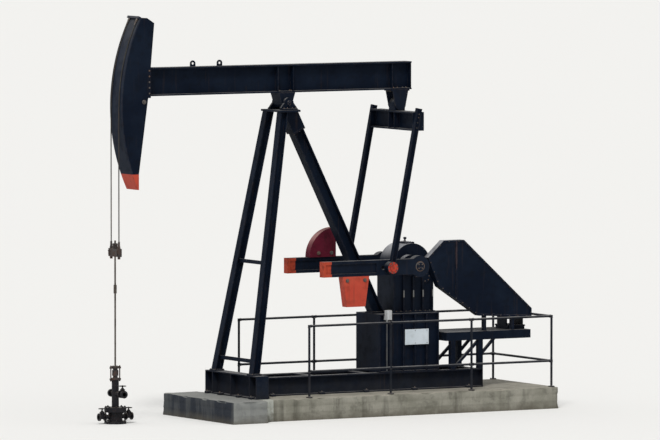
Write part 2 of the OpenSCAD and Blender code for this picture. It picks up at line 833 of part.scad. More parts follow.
module equalizer_beam() {
    hub_y = equalizer_w / 2 - 2 * side_gap;
    end_y = pitman_y - pitman_t / 2;
    hub = equalizer_seat - side_gap;
    color("midnightblue") union() {
        // Beam between the two pitmans, deepest at the middle
        beam_along_y(-end_y, end_y, equalizer_x, equalizer_low, equalizer_h, equalizer_w,
            beam_flange_t, beam_web_t);
        for (y = [-end_y, -hub_y, hub_y - stiffener_t, end_y - stiffener_t])
            translate([equalizer_x - equalizer_w / 2, y, equalizer_low])
                cube([equalizer_w, stiffener_t, equalizer_h]);
        // Bearing housing on top of the beam
        translate([equalizer_x, 0, equalizer_z]) difference() {
            union() {
                round_y(hub, -hub_y, hub_y);
                translate([-hub, -hub_y, -equalizer_seat]) cube([2 * hub, 2 * hub_y, equalizer_seat]);
            }
            round_y(equalizer_pin_r + fit_gap, -far, far);
        }
    }
}

module pitman(side) {
    y = side * pitman_y;
    foot = sqrt(pow(wrist_r, 2) - pow(pitman_w / 2, 2));
    color("midnightblue") translate([wrist_x, y, crankshaft_z]) rotate([0, pitman_lean, 0])
        difference() {
            translate([0, 0, foot])
                linear_extrude(norm([pitman_dx, pitman_dz]) - foot - pitman_w / 2)
                    i_section(pitman_w, pitman_t, leg_flange_t, leg_web_t);
            // The foot sits round the wrist bearing
            round_y(wrist_r, -far, far);
        }
}

module wrist_bearings() {
    inner = crank_out + wrist_gap;
    color("orangered") for (side = [-1, 1]) {
        y0 = side > 0 ? inner : -inner - wrist_l;
        translate([wrist_x, 0, crankshaft_z]) union() {
            round_y(wrist_r, y0, y0 + wrist_l);
            // Cap over the pin's outer end
            round_y(0.55 * wrist_r, side > 0 ? y0 : y0 - 20, side > 0 ? y0 + wrist_l + 20 : y0);
        }
    }
}

// CRANKS

module crankshaft() {
    end_y = crank_y + crank_t / 2 + wrist_gap;
    color("silver") translate([crankshaft_x, 0, crankshaft_z]) round_y(crankshaft_r, -end_y, end_y);
}

module crank(side) {
    y0 = side * crank_y - crank_t / 2;
    color("midnightblue") translate([crankshaft_x, 0, crankshaft_z]) difference() {
        union() {
            translate([-crank_l, y0, -crank_h / 2]) cube([crank_l, crank_t, crank_h]);
            round_y(hub_r, y0, y0 + crank_t);
        }
        // Recess between the raised edges on both faces
        for (face = [0, 1])
            translate([-crank_l + crank_edge_h, y0 + face * (crank_t - crank_recess),
                    -crank_h / 2 + crank_edge_h])
                cube([crank_l - crank_edge_h - throw - 2 * pin_hole_step, crank_recess,
                    crank_h - 2 * crank_edge_h]);
        // Pin holes for the three stroke lengths
        for (i = [-1, 0, 1])
            translate([-throw - i * pin_hole_step, 0, 0]) round_y(pin_hole_r, -far, far);
        round_y(crankshaft_r + fit_gap, -far, far);
    }
}

module counterweight_near() {
    y0 = -crank_out;
    slope = (near_weight_l - near_weight_tip) / 2;
    color("orangered") translate([crankshaft_x, 0, crankshaft_z - crank_h / 2])
        plate_y(y0, y0 + weight_t) polygon([
            [-near_weight_x, 0], [-near_weight_x - near_weight_l, 0],
            [-near_weight_x - near_weight_l + slope, -near_weight_h],
            [-near_weight_x - slope, -near_weight_h]
        ]);
}

module counterweight_far() {
    y0 = crank_out - weight_t;
    color("maroon") translate([crankshaft_x, 0, crankshaft_z + crank_h / 2]) intersection() {
        translate([-far_weight_x - far_weight_l, y0, 0]) cube([far_weight_l, weight_t, far_weight_h]);
        // The side towards the crank's tip is a quarter of a circle
        translate([-far_weight_x - far_weight_l + far_weight_h, 0, 0]) union() {
            round_y(far_weight_h, y0, y0 + weight_t);
            translate([0, y0, 0]) cube([far_weight_l, weight_t, far_weight_h]);
        }
    }
}

// PEDESTAL AND GEAR REDUCER

module switch_box() {
    low = pedestal_z + switch_rise - switch_h;
    wall_low = pedestal_z - pedestal_t;
    color("lightgray") translate([switch_x, -skid_w / 2, 0]) union() {
        translate([-switch_w / 2, -switch_t, low]) cube([switch_w, switch_t, switch_h]);
        // Its back reaches in under the edge of the pedestal's top plate, where the conduit runs down
        translate([-switch_w / 2, 0, low]) cube([switch_w, 2 * conduit_r, wall_low - low]);
        translate([0, conduit_r, skid_top + pedestal_t])
            cylinder(r = conduit_r, h = wall_low - skid_top - pedestal_t);
    }
}

module reducer_pedestal() {
    color("midnightblue") union() {
        translate([pedestal_x, -skid_w / 2 + pedestal_rib_reach, skid_top])
            cube([pedestal_l, skid_w - 2 * pedestal_rib_reach, pedestal_z - skid_top]);
        // Top and bottom plates stand out past the walls
        for (z = [skid_top, pedestal_z - pedestal_t])
            translate([pedestal_x, -skid_w / 2, z]) cube([pedestal_l, skid_w, pedestal_t]);
        // Stiffeners down each side
        for (side = [-1, 1], i = [0 : pedestal_ribs - 1])
            translate([pedestal_x + (pedestal_l - pedestal_t) * i / (pedestal_ribs - 1),
                    side > 0 ? skid_w / 2 - pedestal_rib_reach - pedestal_t : -skid_w / 2, skid_top])
                cube([pedestal_t, pedestal_rib_reach + pedestal_t, pedestal_z - skid_top]);
    }
}

boss_y = reducer_w / 2 + boss_reach;

module shaft_bore() {
    translate([crankshaft_x, 0, crankshaft_z]) round_y(crankshaft_r + fit_gap, -far, far);
}

module reducer_housing() {
    body_w = reducer_w - 2 * split_reach;
    color("midnightblue") difference() {
        union() {
            translate([reducer_x + split_reach, -body_w / 2, pedestal_z])
                cube([reducer_l - 2 * split_reach, body_w, crankshaft_z - pedestal_z]);
            // Foot flange and split flange
            for (z = [pedestal_z, crankshaft_z - split_t])
                translate([reducer_x, -reducer_w / 2, z]) cube([reducer_l, reducer_w, split_t]);
            // Ribs down each side
            for (side = [-1, 1], i = [0 : reducer_ribs - 1])
                translate([reducer_x + split_reach
                            + (reducer_l - 2 * split_reach - split_t) * i / (reducer_ribs - 1),
                        side > 0 ? 0 : -reducer_w / 2, pedestal_z])
                    cube([split_t, reducer_w / 2, crankshaft_z - pedestal_z]);
            // Bearing boss round the shaft
            translate([crankshaft_x, 0, crankshaft_z]) intersection() {
                round_y(2 * crankshaft_r, -boss_y, boss_y);
                translate([-far / 2, -far / 2, -far]) cube([far, far, far]);
            }
            // Bearing caps of the two smaller shafts, below the split
            for (i = [1, 2])
                translate([crankshaft_x + i * (reducer_x + reducer_l - crankshaft_x) / 3, 0,
                        crankshaft_z - 2 * split_t - i * cap_r])
                    round_y(cap_r, -body_w / 2 - cap_t, body_w / 2 + cap_t);
        }
        shaft_bore();
    }
}

module reducer_cover() {
    body_w = reducer_w - 2 * split_reach;
    rear_r = dome_r * 0.62;
    rear_axis_x = reducer_x + reducer_l - split_reach - rear_r;
    color("midnightblue") difference() {
        union() {
            // Round top over the large gear, falling to the small one behind it
            translate([dome_x, 0, crankshaft_z]) intersection() {
                union() {
                    round_y(dome_r, -body_w / 2, body_w / 2);
                    translate([rear_axis_x - dome_x, 0, 0])
                        round_y(rear_r, -body_w / 2, body_w / 2);
                    translate([0, -body_w / 2, 0]) cube([rear_axis_x - dome_x, body_w, rear_r]);
                }
                translate([-far / 2, -far / 2, 0]) cube([far, far, far]);
            }
            translate([reducer_x, -reducer_w / 2, crankshaft_z]) cube([reducer_l, reducer_w, split_t]);
            translate([crankshaft_x, 0, crankshaft_z]) intersection() {
                round_y(2 * crankshaft_r, -boss_y, boss_y);
                translate([-far / 2, -far / 2, 0]) cube([far, far, far]);
            }
            // Inspection lid over the round top
            translate([dome_x - lid_l / 2, -lid_w / 2, crankshaft_z])
                cube([lid_l, lid_w, dome_r + lid_t]);
        }
        shaft_bore();
    }
}

// BELT GUARD

guard_y = -reducer_w / 2 - guard_gap;
guard_outer_y = guard_y - guard_t;

module guard_outline() {
    polygon([
        [guard_nose_x, guard_nose_z], [guard_top_x, guard_top_z],
        [guard_top_x + guard_top_l, guard_top_z], [guard_rear_x, guard_rear_z],
        [guard_rear_x, guard_rear_z - guard_tail_h], [guard_belly_x, guard_belly_z],
        [guard_chin_x, guard_chin_z]
    ]);
}

module belt_guard() {
    color("midnightblue") difference() {
        plate_y(guard_outer_y, guard_y) guard_outline();
        // The outer face lies below its rim, in two panels on either side of a cross bar
        plate_y(guard_outer_y - guard_rim_h, guard_outer_y + guard_rim_h) difference() {
            offset(delta = -guard_rim) guard_outline();
            translate([guard_seam_x - guard_rim / 2, 0]) square([guard_rim, far]);
        }
    }
}

// MOTOR AND PLATFORM

module motor_platform() {
    deck_low = platform_z - platform_t;
    platform_rear = platform_x + platform_l;
    first_x = platform_x + post_w;
    last_x = skid_rear - post_w;
    brace_w = 0.7 * post_w;
    color("midnightblue") union() {
        translate([platform_x, -platform_w / 2, platform_z - foot_t])
            cube([platform_l, platform_w, foot_t]);
        // Edge beams under the deck
        for (y = [-platform_w / 2, platform_w / 2 - post_w])
            translate([platform_x, y, deck_low]) cube([platform_l, post_w, platform_t]);
        for (x = [platform_x, platform_rear - post_w])
            translate([x, -platform_w / 2, deck_low]) cube([post_w, platform_w, platform_t]);
        for (y = [-platform_w / 2, platform_w / 2 - post_w]) {
            // Posts down to the skid
            for (i = [0 : post_pairs - 1])
                translate([first_x + (last_x - first_x) * i / (post_pairs - 1), y, skid_top])
                    cube([post_w, post_w, deck_low - skid_top]);
            // Brace from the first post's foot to the last post's head
            plate_y(y + post_w / 4, y + 3 * post_w / 4) polygon([
                [first_x + post_w, skid_top], [last_x, deck_low - brace_w], [last_x, deck_low],
                [first_x + post_w, skid_top + brace_w]
            ]);
            // Brace from the last post to the deck's overhang
            plate_y(y + post_w / 4, y + 3 * post_w / 4) polygon([
                [last_x + post_w, deck_low - knee_reach], [last_x + post_w + knee_reach, deck_low],
                [last_x + post_w + knee_reach - brace_w, deck_low],
                [last_x + post_w, deck_low - knee_reach + brace_w]
            ]);
        }
    }
}

module motor() {
    core_r = motor_r - fin_h;
    foot_l = motor_l - 2 * bell_l;
    color("midnightblue") translate([motor_x, guard_y + motor_gap, platform_z + motor_h]) union() {
        round_y(core_r, 0, motor_l);
        // End bells stand as high as the fins between them
        for (y = [0, motor_l - bell_l]) round_y(motor_r, y, y + bell_l);
        for (i = [0 : motor_fins - 1]) rotate([0, 360 * i / motor_fins, 0])
            translate([core_r - fin_h, bell_l, -fin_t / 2]) cube([2 * fin_h - fin_t, foot_l, fin_t]);
        round_y(motor_shaft_r, -motor_gap, motor_l);
        // Feet, base plate and the slide rails under it
        for (x = [-motor_r, motor_r - foot_t])
            translate([x, bell_l, -motor_h]) cube([foot_t, foot_l, motor_h]);
        translate([-motor_r, 0, -motor_h + 2 * foot_t]) cube([2 * motor_r, motor_l, foot_t]);
        for (y = [foot_t, motor_l - foot_t - post_w])
            translate([-motor_r, y, -motor_h]) cube([2 * motor_r, post_w, 2 * foot_t]);
        translate([-terminal_box / 2, (motor_l - terminal_box) / 2, core_r - foot_t])
            cube([terminal_box, terminal_box, terminal_box / 2 + foot_t]);
    }
}

// GUARD RAILS

fence_y = slab_w / 2 - fence_inset;
fence_rear_x = slab_rear - fence_end;
fence_top = slab_h + fence_h - pipe_r;
fence_mid = slab_h + fence_low;

module fence_side(y, x0, first_bay) {
    x1 = fence_rear_x;
    x2 = x0 + first_bay;
    color("midnightblue") union() {
        for (z = [fence_mid, fence_top])
            translate([x0, y, z]) rotate([0, 90, 0]) cylinder(r = pipe_r, h = x1 - x0, $fn = 24);
        for (i = [0 : fence_bays])
            translate([i == 0 ? x0 : x2 + (x1 - x2) * (i - 1) / (fence_bays - 1), y, slab_h]) {
                cylinder(r = pipe_r, h = fence_top - slab_h, $fn = 24);
                cylinder(r = fence_foot_r, h = fence_foot_t);
                translate([0, 0, fence_top - slab_h]) sphere(r = pipe_r, $fn = 24);
            }
    }
}

module guard_rail_rear() {
    // Its ends are butted against the corner posts
    end_y = fence_y - pipe_r;
    color("midnightblue") for (z = [fence_mid, fence_top])
        translate([fence_rear_x, 0, z]) round_y(pipe_r, -end_y, end_y, $fn = 24);
}

// WELL HEAD

stuffing_low = stuffing_z - stuffing_h;

// A side valve whose outer flange ends at the reach, along +X from the pipe's root, with its wheel above.
module side_valve(reach) {
    valve_l = 2 * valve_r;
    rotate([0, 90, 0]) cylinder(r = side_pipe_r, h = reach);
    translate([reach - valve_l, 0, 0]) {
        for (x = [0, valve_l - valve_flange_t])
            translate([x, 0, 0]) rotate([0, 90, 0]) cylinder(r = valve_r, h = valve_flange_t);
        translate([valve_r, 0, 0]) {
            cylinder(r = side_pipe_r, h = 0.6 * stem_h);
            cylinder(r = stem_r, h = stem_h);
            translate([0, 0, stem_h - wheel_rim_r]) {
                rotate_extrude($fn = 48) translate([hand_wheel_r - wheel_rim_r, 0])
                    circle(r = wheel_rim_r, $fn = 16);
                for (turn = [0, 60, 120]) rotate([0, 0, turn])
                    translate([-hand_wheel_r + wheel_rim_r, -wheel_rim_r / 2, -wheel_rim_r / 2])
                        cube([2 * (hand_wheel_r - wheel_rim_r), wheel_rim_r, wheel_rim_r]);
            }
        }
    }
}

module casing_head() {
    color("dimgray") translate([-wire_x, 0, 0]) difference() {
        union() {
            cylinder(r = casing_r, h = casing_h);
            for (z = [0, casing_h - casing_flange_t])
                translate([0, 0, z]) cylinder(r = casing_flange_r, h = casing_flange_t);
            for (turn = [0, 180]) translate([0, 0, casing_h / 2]) rotate([0, 0, turn])
                side_valve(valve_reach);
        }
        translate([0, 0, -1]) cylinder(r = passage_r, h = far);
    }
}

module tubing_tee() {
    color("dimgray") translate([-wire_x, 0, 0]) difference() {
        union() {
            translate([0, 0, casing_h]) {
                cylinder(r = casing_flange_r, h = casing_flange_t);
                cylinder(r = tee_r, h = stuffing_low - casing_h);
            }
            translate([0, 0, tee_z]) rotate([0, 0, -90]) side_valve(valve_reach);
            translate([0, 0, tee_z]) rotate([-90, 0, 0]) {
                cylinder(r = side_pipe_r, h = valve_reach / 2);
                // Blind flange on the unused outlet
                translate([0, 0, valve_reach / 2 - 2 * valve_flange_t])
                    cylinder(r = valve_r, h = 2 * valve_flange_t);
            }
        }
        translate([0, 0, -1]) cylinder(r = passage_r, h = far);
    }
}

module stuffing_box() {
    color("dimgray") translate([-wire_x, 0, stuffing_low]) difference() {
        union() {
            cylinder(r = 0.75 * stuffing_r, h = stuffing_h);
            // Lower nut, packing chamber and the gland on top
            cylinder(r = 1.4 * stuffing_r, h = 0.14 * stuffing_h);
            translate([0, 0, 0.3 * stuffing_h]) cylinder(r = stuffing_r, h = 0.4 * stuffing_h);
            translate([0, 0, 0.84 * stuffing_h]) cylinder(r = 1.2 * stuffing_r, h = 0.16 * stuffing_h);
        }
        translate([0, 0, -1]) cylinder(r = rod_r + fit_gap, h = far);
    }
}

// BRIDLE AND POLISHED ROD

module bridle_cables() {
    span = axis_z - carrier_top - wire_end_gap - wire_r;
    color("dimgray") for (side = [-1, 1])
        translate([-wire_x, side * wire_spread / 2, carrier_top]) union() {
            cylinder(r = wire_r, h = span, $fn = 24);
            // Round upper end, so that it rolls past the wrapped part
            translate([0, 0, span]) sphere(r = wire_r, $fn = 24);
        }
}

module carrier_bar() {
    color("dimgray") difference() {
        translate([-wire_x - carrier_w / 2, -carrier_l / 2, carrier_z])
            cube([carrier_w, carrier_l, carrier_h]);
        translate([-wire_x, 0, 0]) cylinder(r = rod_r + fit_gap, h = far);
    }
}

module polished_rod() {
    color("silver") translate([-wire_x, 0, rod_end_z]) union() {
        cylinder(r = rod_r, h = carrier_top + clamp_h + 60 - rod_end_z);
        translate([0, 0, coupling_z - rod_end_z]) cylinder(r = 1.8 * rod_r, h = coupling_l);
    }
}

module rod_clamp() {
    color("dimgray") translate([-wire_x, 0, carrier_top]) difference() {
        cylinder(r = clamp_r, h = clamp_h);
        translate([0, 0, -1]) cylinder(r = rod_r + fit_gap, h = far);
    }
}

foundation();
front_cross_beam();
skid_rail(-1);  // skid_rail_near
skid_rail(1);  // skid_rail_far
skid_cross_members();
samson_leg(-1);  // samson_leg_near
samson_leg(1);  // samson_leg_far
samson_rear_leg();
samson_braces();
samson_top_plate();
center_bearing_base();
reducer_pedestal();
switch_box();
reducer_housing();
reducer_cover();
belt_guard();
motor_platform();
motor();
fence_side(-fence_y, fence_near_x, (fence_rear_x - fence_near_x) / fence_bays);  // guard_rail_near
fence_side(fence_y, -fence_far_x, fence_first_bay);  // guard_rail_far
guard_rail_rear();
casing_head();
tubing_tee();
stuffing_box();
walking_beam();
saddle_bearing();
horsehead_frame();
horsehead_face();
horsehead_toe();
bridle_wrap();
lifting_lugs();
equalizer_bracket();
equalizer_beam();
pitman(-1);  // pitman_near
pitman(1);  // pitman_far
wrist_bearings();
crankshaft();
crank(-1);  // crank_near
crank(1);  // crank_far
counterweight_near();
counterweight_far();
bridle_cables();
carrier_bar();
polished_rod();
rod_clamp();
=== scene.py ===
# Walking-beam pumping unit: its looks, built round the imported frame
import json
import math
import random

import bmesh
import bpy
from mathutils import Matrix, Vector, noise


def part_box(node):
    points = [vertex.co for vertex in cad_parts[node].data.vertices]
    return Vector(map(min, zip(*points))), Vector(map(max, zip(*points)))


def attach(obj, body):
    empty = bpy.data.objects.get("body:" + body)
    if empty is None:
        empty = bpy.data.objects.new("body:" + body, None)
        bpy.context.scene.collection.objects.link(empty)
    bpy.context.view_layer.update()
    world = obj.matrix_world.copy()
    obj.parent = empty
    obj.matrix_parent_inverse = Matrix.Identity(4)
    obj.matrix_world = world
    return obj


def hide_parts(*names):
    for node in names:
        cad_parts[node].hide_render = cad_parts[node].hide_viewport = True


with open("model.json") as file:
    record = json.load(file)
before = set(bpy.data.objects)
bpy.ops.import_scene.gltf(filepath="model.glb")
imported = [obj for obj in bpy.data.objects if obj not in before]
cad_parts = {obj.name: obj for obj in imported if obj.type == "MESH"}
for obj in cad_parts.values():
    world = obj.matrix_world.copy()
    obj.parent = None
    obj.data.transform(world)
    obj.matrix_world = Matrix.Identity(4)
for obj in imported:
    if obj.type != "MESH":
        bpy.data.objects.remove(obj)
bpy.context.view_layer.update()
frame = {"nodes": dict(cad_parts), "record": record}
nodes = frame["nodes"]
boxes = {name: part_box(name) for name in nodes}
scene = bpy.context.scene
rng = random.Random(31)             # turns the bolt heads and ripples the welds
sides = (-1, 1)                     # the near side first
up, down = (0, 0, 1), (0, 0, -1)
print("frame loaded:", len(nodes), "nodes")


# Helpers for node trees

def feed(tree, value, socket):
    # A socket takes another node's output, a number, a vector or a colour
    if isinstance(value, bpy.types.NodeSocket):
        tree.links.new(value, socket)
    elif socket.type == "RGBA":
        socket.default_value = (*value, 1)
    else:
        socket.default_value = value


def put(tree, kind, feeds, **settings):
    node = tree.nodes.new(kind)
    for key, value in settings.items():
        setattr(node, key, value)
    for target, value in feeds.items():
        feed(tree, value, node.inputs[target])
    return node


def maths(tree, operation, a, b=0.0, clamp=False):
    return put(tree, "ShaderNodeMath", {0: a, 1: b}, operation=operation, use_clamp=clamp).outputs[0]


def times(tree, a, b):
    return maths(tree, "MULTIPLY", a, b, clamp=True)


def vectors(tree, operation, a, b=(0, 0, 0)):
    return put(tree, "ShaderNodeVectorMath", {0: a, 1: b}, operation=operation).outputs


def part(tree, vector, axis):
    return put(tree, "ShaderNodeSeparateXYZ", {0: vector}).outputs[axis]


def faceTurn(tree, axis):
    # How far a face looks along an axis, from -1 to 1
    return part(tree, put(tree, "ShaderNodeTexCoord", {}).outputs["Normal"], axis)


def spread(tree, value, low, high, toMin=0.0, toMax=1.0):
    # value between low and high, turned smoothly into toMin to toMax
    return put(tree, "ShaderNodeMapRange", {
        "Value": value, "From Min": low, "From Max": high, "To Min": toMin, "To Max": toMax,
    }, interpolation_type="SMOOTHSTEP").outputs["Result"]


def cloud(tree, point, scale, detail, roughness):
    return put(tree, "ShaderNodeTexNoise", {
        "Vector": point, "Scale": scale, "Detail": detail, "Roughness": roughness,
    }).outputs["Fac"]


def over(tree, mask, under, coat):
    # The colour coat laid over under where mask is 1
    return put(tree, "ShaderNodeMix", {0: mask, 6: under, 7: coat}, data_type="RGBA").outputs[2]


def overNumber(tree, mask, under, coat):
    return put(tree, "ShaderNodeMix", {0: mask, 2: under, 3: coat}, data_type="FLOAT").outputs[0]


# Camera, floor and light

camera = {
    "azimuth": -30.0,       # degrees, as the photograph was taken
    "elevation": 3.5,
    "distance": 200.0,      # metres, a long telephoto
    "frameWidth": 14.1,     # metres across the picture at the object
    "sensor": 36.0,
}


def addCamera(cfg):
    a, e = math.radians(cfg["azimuth"]), math.radians(cfg["elevation"])
    back = Vector((math.sin(a) * math.cos(e), -math.cos(a) * math.cos(e), math.sin(e)))
    right = Vector((math.cos(a), math.sin(a), 0))
    above = back.cross(right)
    # The middle of the part's outline as the camera sees it
    corners = [Vector(v.co) for node in nodes.values() for v in node.data.vertices]
    across = [p.dot(right) for p in corners]
    height = [p.dot(above) for p in corners]
    middle = right * (min(across) + max(across)) / 2 + above * (min(height) + max(height)) / 2
    lens = bpy.data.cameras.new("camera")
    lens.sensor_width = cfg["sensor"]
    lens.lens = cfg["sensor"] * cfg["distance"] / cfg["frameWidth"]
    lens.clip_end = 20 * cfg["distance"]
    shot = bpy.data.objects.new("camera", lens)
    shot.location = middle + back * cfg["distance"]
    shot.rotation_mode = "QUATERNION"
    shot.rotation_quaternion = (-back).to_track_quat("-Z", "Y")
    scene.collection.objects.link(shot)
    scene.camera = shot


stageLook = {
    "floorSize": 900.0,
    "floorColour": (0.84, 0.83, 0.80),
    "skyColour": (0.93, 0.94, 0.96),
    "skyStrength": 0.55,
    "sunStrength": 2.1,
    "sunAngle": 14.0,       # degrees across, for soft shadows
    "sunFrom": (-0.55, -0.62, 1.0),
    "fillStrength": 0.35,
    "fillAngle": 56.0,
    "fillFrom": (0.9, -0.5, 0.35),
}


def addSun(name, strength, angle, direction):
    lamp = bpy.data.lights.new(name, "SUN")
    lamp.energy = strength
    lamp.angle = math.radians(angle)
    sun = bpy.data.objects.new(name, lamp)
    sun.rotation_mode = "QUATERNION"
    sun.rotation_quaternion = Vector(direction).to_track_quat("Z", "Y")
    scene.collection.objects.link(sun)


def addStage(cfg):
    bm = bmesh.new()
    bmesh.ops.create_circle(bm, cap_ends=True, segments=96, radius=cfg["floorSize"])
    mesh = bpy.data.meshes.new("floor")
    bm.to_mesh(mesh)
    bm.free()
    floor = bpy.data.objects.new("floor", mesh)
    scene.collection.objects.link(floor)
    paint = bpy.data.materials.new("paleFloor")
    paint.use_nodes = True
    shader = paint.node_tree.nodes["Principled BSDF"]
    shader.inputs["Base Color"].default_value = (*cfg["floorColour"], 1)
    shader.inputs["Roughness"].default_value = 1.0
    shader.inputs["Specular IOR Level"].default_value = 0.0
    mesh.materials.append(paint)

    # The camera and reflections see a white sky, and the object is lit by a weaker one
    world = bpy.data.worlds.new("softSky")
    world.use_nodes = True
    scene.world = world
    tree = world.node_tree
    path = put(tree, "ShaderNodeLightPath", {}).outputs
    seen = maths(tree, "MAXIMUM", path["Is Camera Ray"], path["Is Glossy Ray"])
    strength = put(tree, "ShaderNodeMapRange", {"Value": seen, "To Min": cfg["skyStrength"], "To Max": 1.0})
    sky = tree.nodes["Background"]
    sky.inputs["Color"].default_value = (*cfg["skyColour"], 1)
    tree.links.new(strength.outputs["Result"], sky.inputs["Strength"])
    addSun("sun", cfg["sunStrength"], cfg["sunAngle"], cfg["sunFrom"])
    addSun("fill", cfg["fillStrength"], cfg["fillAngle"], cfg["fillFrom"])
    scene.view_settings.view_transform = "Standard"


addCamera(camera)
addStage(stageLook)
print("camera, floor and light")


# Shader groups that the finishes share

def makeGroup(name, output, **inputs):
    # Each group takes a point and a few numbers, and gives one mask or height
    tree = bpy.data.node_groups.new(name, "ShaderNodeTree")
    tree.interface.new_socket("Point", in_out="INPUT", socket_type="NodeSocketVector")
    for label, value in inputs.items():
        socket = tree.interface.new_socket(label, in_out="INPUT", socket_type="NodeSocketFloat")
        socket.default_value = value
    tree.interface.new_socket(output, in_out="OUTPUT", socket_type="NodeSocketFloat")
    return tree, tree.nodes.new("NodeGroupInput").outputs, tree.nodes.new("NodeGroupOutput").inputs[0]


def makePatches():
    # Uneven patches: where a finish is more worn, dirtier or paler
    tree, given, mask = makeGroup("patches", "Mask", Scale=1.0, Low=0.4, High=0.7)
    clouds = cloud(tree, given["Point"], given["Scale"], 7.0, 0.62)
    tree.links.new(spread(tree, clouds, given["Low"], given["High"]), mask)
    return tree


def makeStreaks():
    # Runs down a wall, fine across and long down, and none on a level face
    tree, given, mask = makeGroup("streaks", "Mask", Across=14.0, Down=0.7, Low=0.5, High=0.72)
    scale = put(tree, "ShaderNodeCombineXYZ", {"X": given["Across"], "Y": given["Across"], "Z": given["Down"]})
    point = vectors(tree, "MULTIPLY", given["Point"], scale.outputs[0])["Vector"]
    runs = spread(tree, cloud(tree, point, 1.0, 5.0, 0.6), given["Low"], given["High"])
    wall = spread(tree, maths(tree, "ABSOLUTE", faceTurn(tree, "Z")), 0.75, 0.35)
    tree.links.new(times(tree, runs, wall), mask)
    return tree


def makeDustAndHighlight():
    # Dust that settles on what faces up, thinner where it has been rubbed off, and a painted highlight: the tops are
    # made paler as if sunlit
    tree, given, mask = makeGroup("dustAndHighlight", "Mask", Amount=1.0)
    upward = spread(tree, faceTurn(tree, "Z"), 0.15, 0.95)
    uneven = spread(tree, cloud(tree, given["Point"], 3.2, 8.0, 0.7), 0.28, 0.68, 0.35, 1.0)
    tree.links.new(times(tree, times(tree, upward, uneven), given["Amount"]), mask)
    return tree


def makeEdges():
    # Edges of the metal, broken up so that the wear is not an outline
    tree, given, mask = makeGroup("edges", "Mask", Width=0.012, Scale=9.0)
    rounded = put(tree, "ShaderNodeBevel", {"Radius": given["Width"]}, samples=4).outputs["Normal"]
    flat = put(tree, "ShaderNodeNewGeometry", {}).outputs["Normal"]
    match = vectors(tree, "DOT_PRODUCT", rounded, flat)["Value"]
    broken = spread(tree, cloud(tree, given["Point"], given["Scale"], 6.0, 0.7), 0.42, 0.58)
    tree.links.new(times(tree, spread(tree, match, 0.995, 0.86), broken), mask)
    return tree


def makeGroundDirt():
    # Splashed soil that fades out upwards from a level
    tree, given, mask = makeGroup("groundDirt", "Mask", Level=0.47, Reach=0.8)
    height = maths(tree, "SUBTRACT", part(tree, given["Point"], "Z"), given["Level"])
    ratio = maths(tree, "DIVIDE", height, given["Reach"])
    ragged = maths(tree, "ADD", ratio, cloud(tree, given["Point"], 4.0, 7.0, 0.65))
    tree.links.new(spread(tree, ragged, 1.15, 0.35), mask)
    return tree


def makeRelief():
    # Height of brushed paint, a casting's grain or bare concrete, at two sizes
    tree, given, height = makeGroup("relief", "Height", Fine=120.0, Coarse=9.0, Share=0.5)
    fine, coarse = (cloud(tree, given["Point"], given[size], 4.0, 0.6) for size in ("Fine", "Coarse"))
    tree.links.new(overNumber(tree, given["Share"], fine, coarse), height)
    return tree


groups = {
    "patches": makePatches(), "streaks": makeStreaks(), "dustAndHighlight": makeDustAndHighlight(),
    "edges": makeEdges(), "groundDirt": makeGroundDirt(), "relief": makeRelief(),
}
print("shader groups:", len(groups))


# Finishes

def useGroup(tree, name, point, **values):
    node = put(tree, "ShaderNodeGroup", {}, node_tree=groups[name])
    for key, value in {"Point": point, **values}.items():
        feed(tree, value, node.inputs[key])
    return node.outputs[0]


def startFinish(name, gloss):
    material = bpy.data.materials.new(name)
    material.use_nodes = True
    tree = material.node_tree
    shader = tree.nodes["Principled BSDF"]
    shader.inputs["Specular IOR Level"].default_value = gloss
    return material, tree, shader.inputs, put(tree, "ShaderNodeTexCoord", {}).outputs["Object"]


def setBump(tree, shader, height, strength, depth):
    bump = put(tree, "ShaderNodeBump", {"Height": height, "Strength": strength, "Distance": depth})
    tree.links.new(bump.outputs["Normal"], shader["Normal"])


def setRelief(tree, shader, point, cfg):
    height = useGroup(tree, "relief", point, Fine=cfg["fine"], Coarse=cfg["coarse"], Share=cfg["share"])
    setBump(tree, shader, height, cfg["strength"], cfg["depth"])


def paintedArea(tree, point, middle, scale, reach):
    # 1 within reach of middle, measured along the axes that scale keeps, with a brushed edge
    away = vectors(tree, "SUBTRACT", point, middle)["Vector"]
    kept = vectors(tree, "MULTIPLY", away, scale)["Vector"]
    rag = times(tree, cloud(tree, point, 9.0, 5.0, 0.5), 0.02)
    ragged = maths(tree, "ADD", vectors(tree, "LENGTH", kept)["Value"], rag)
    return spread(tree, ragged, reach + 0.013, reach + 0.007)


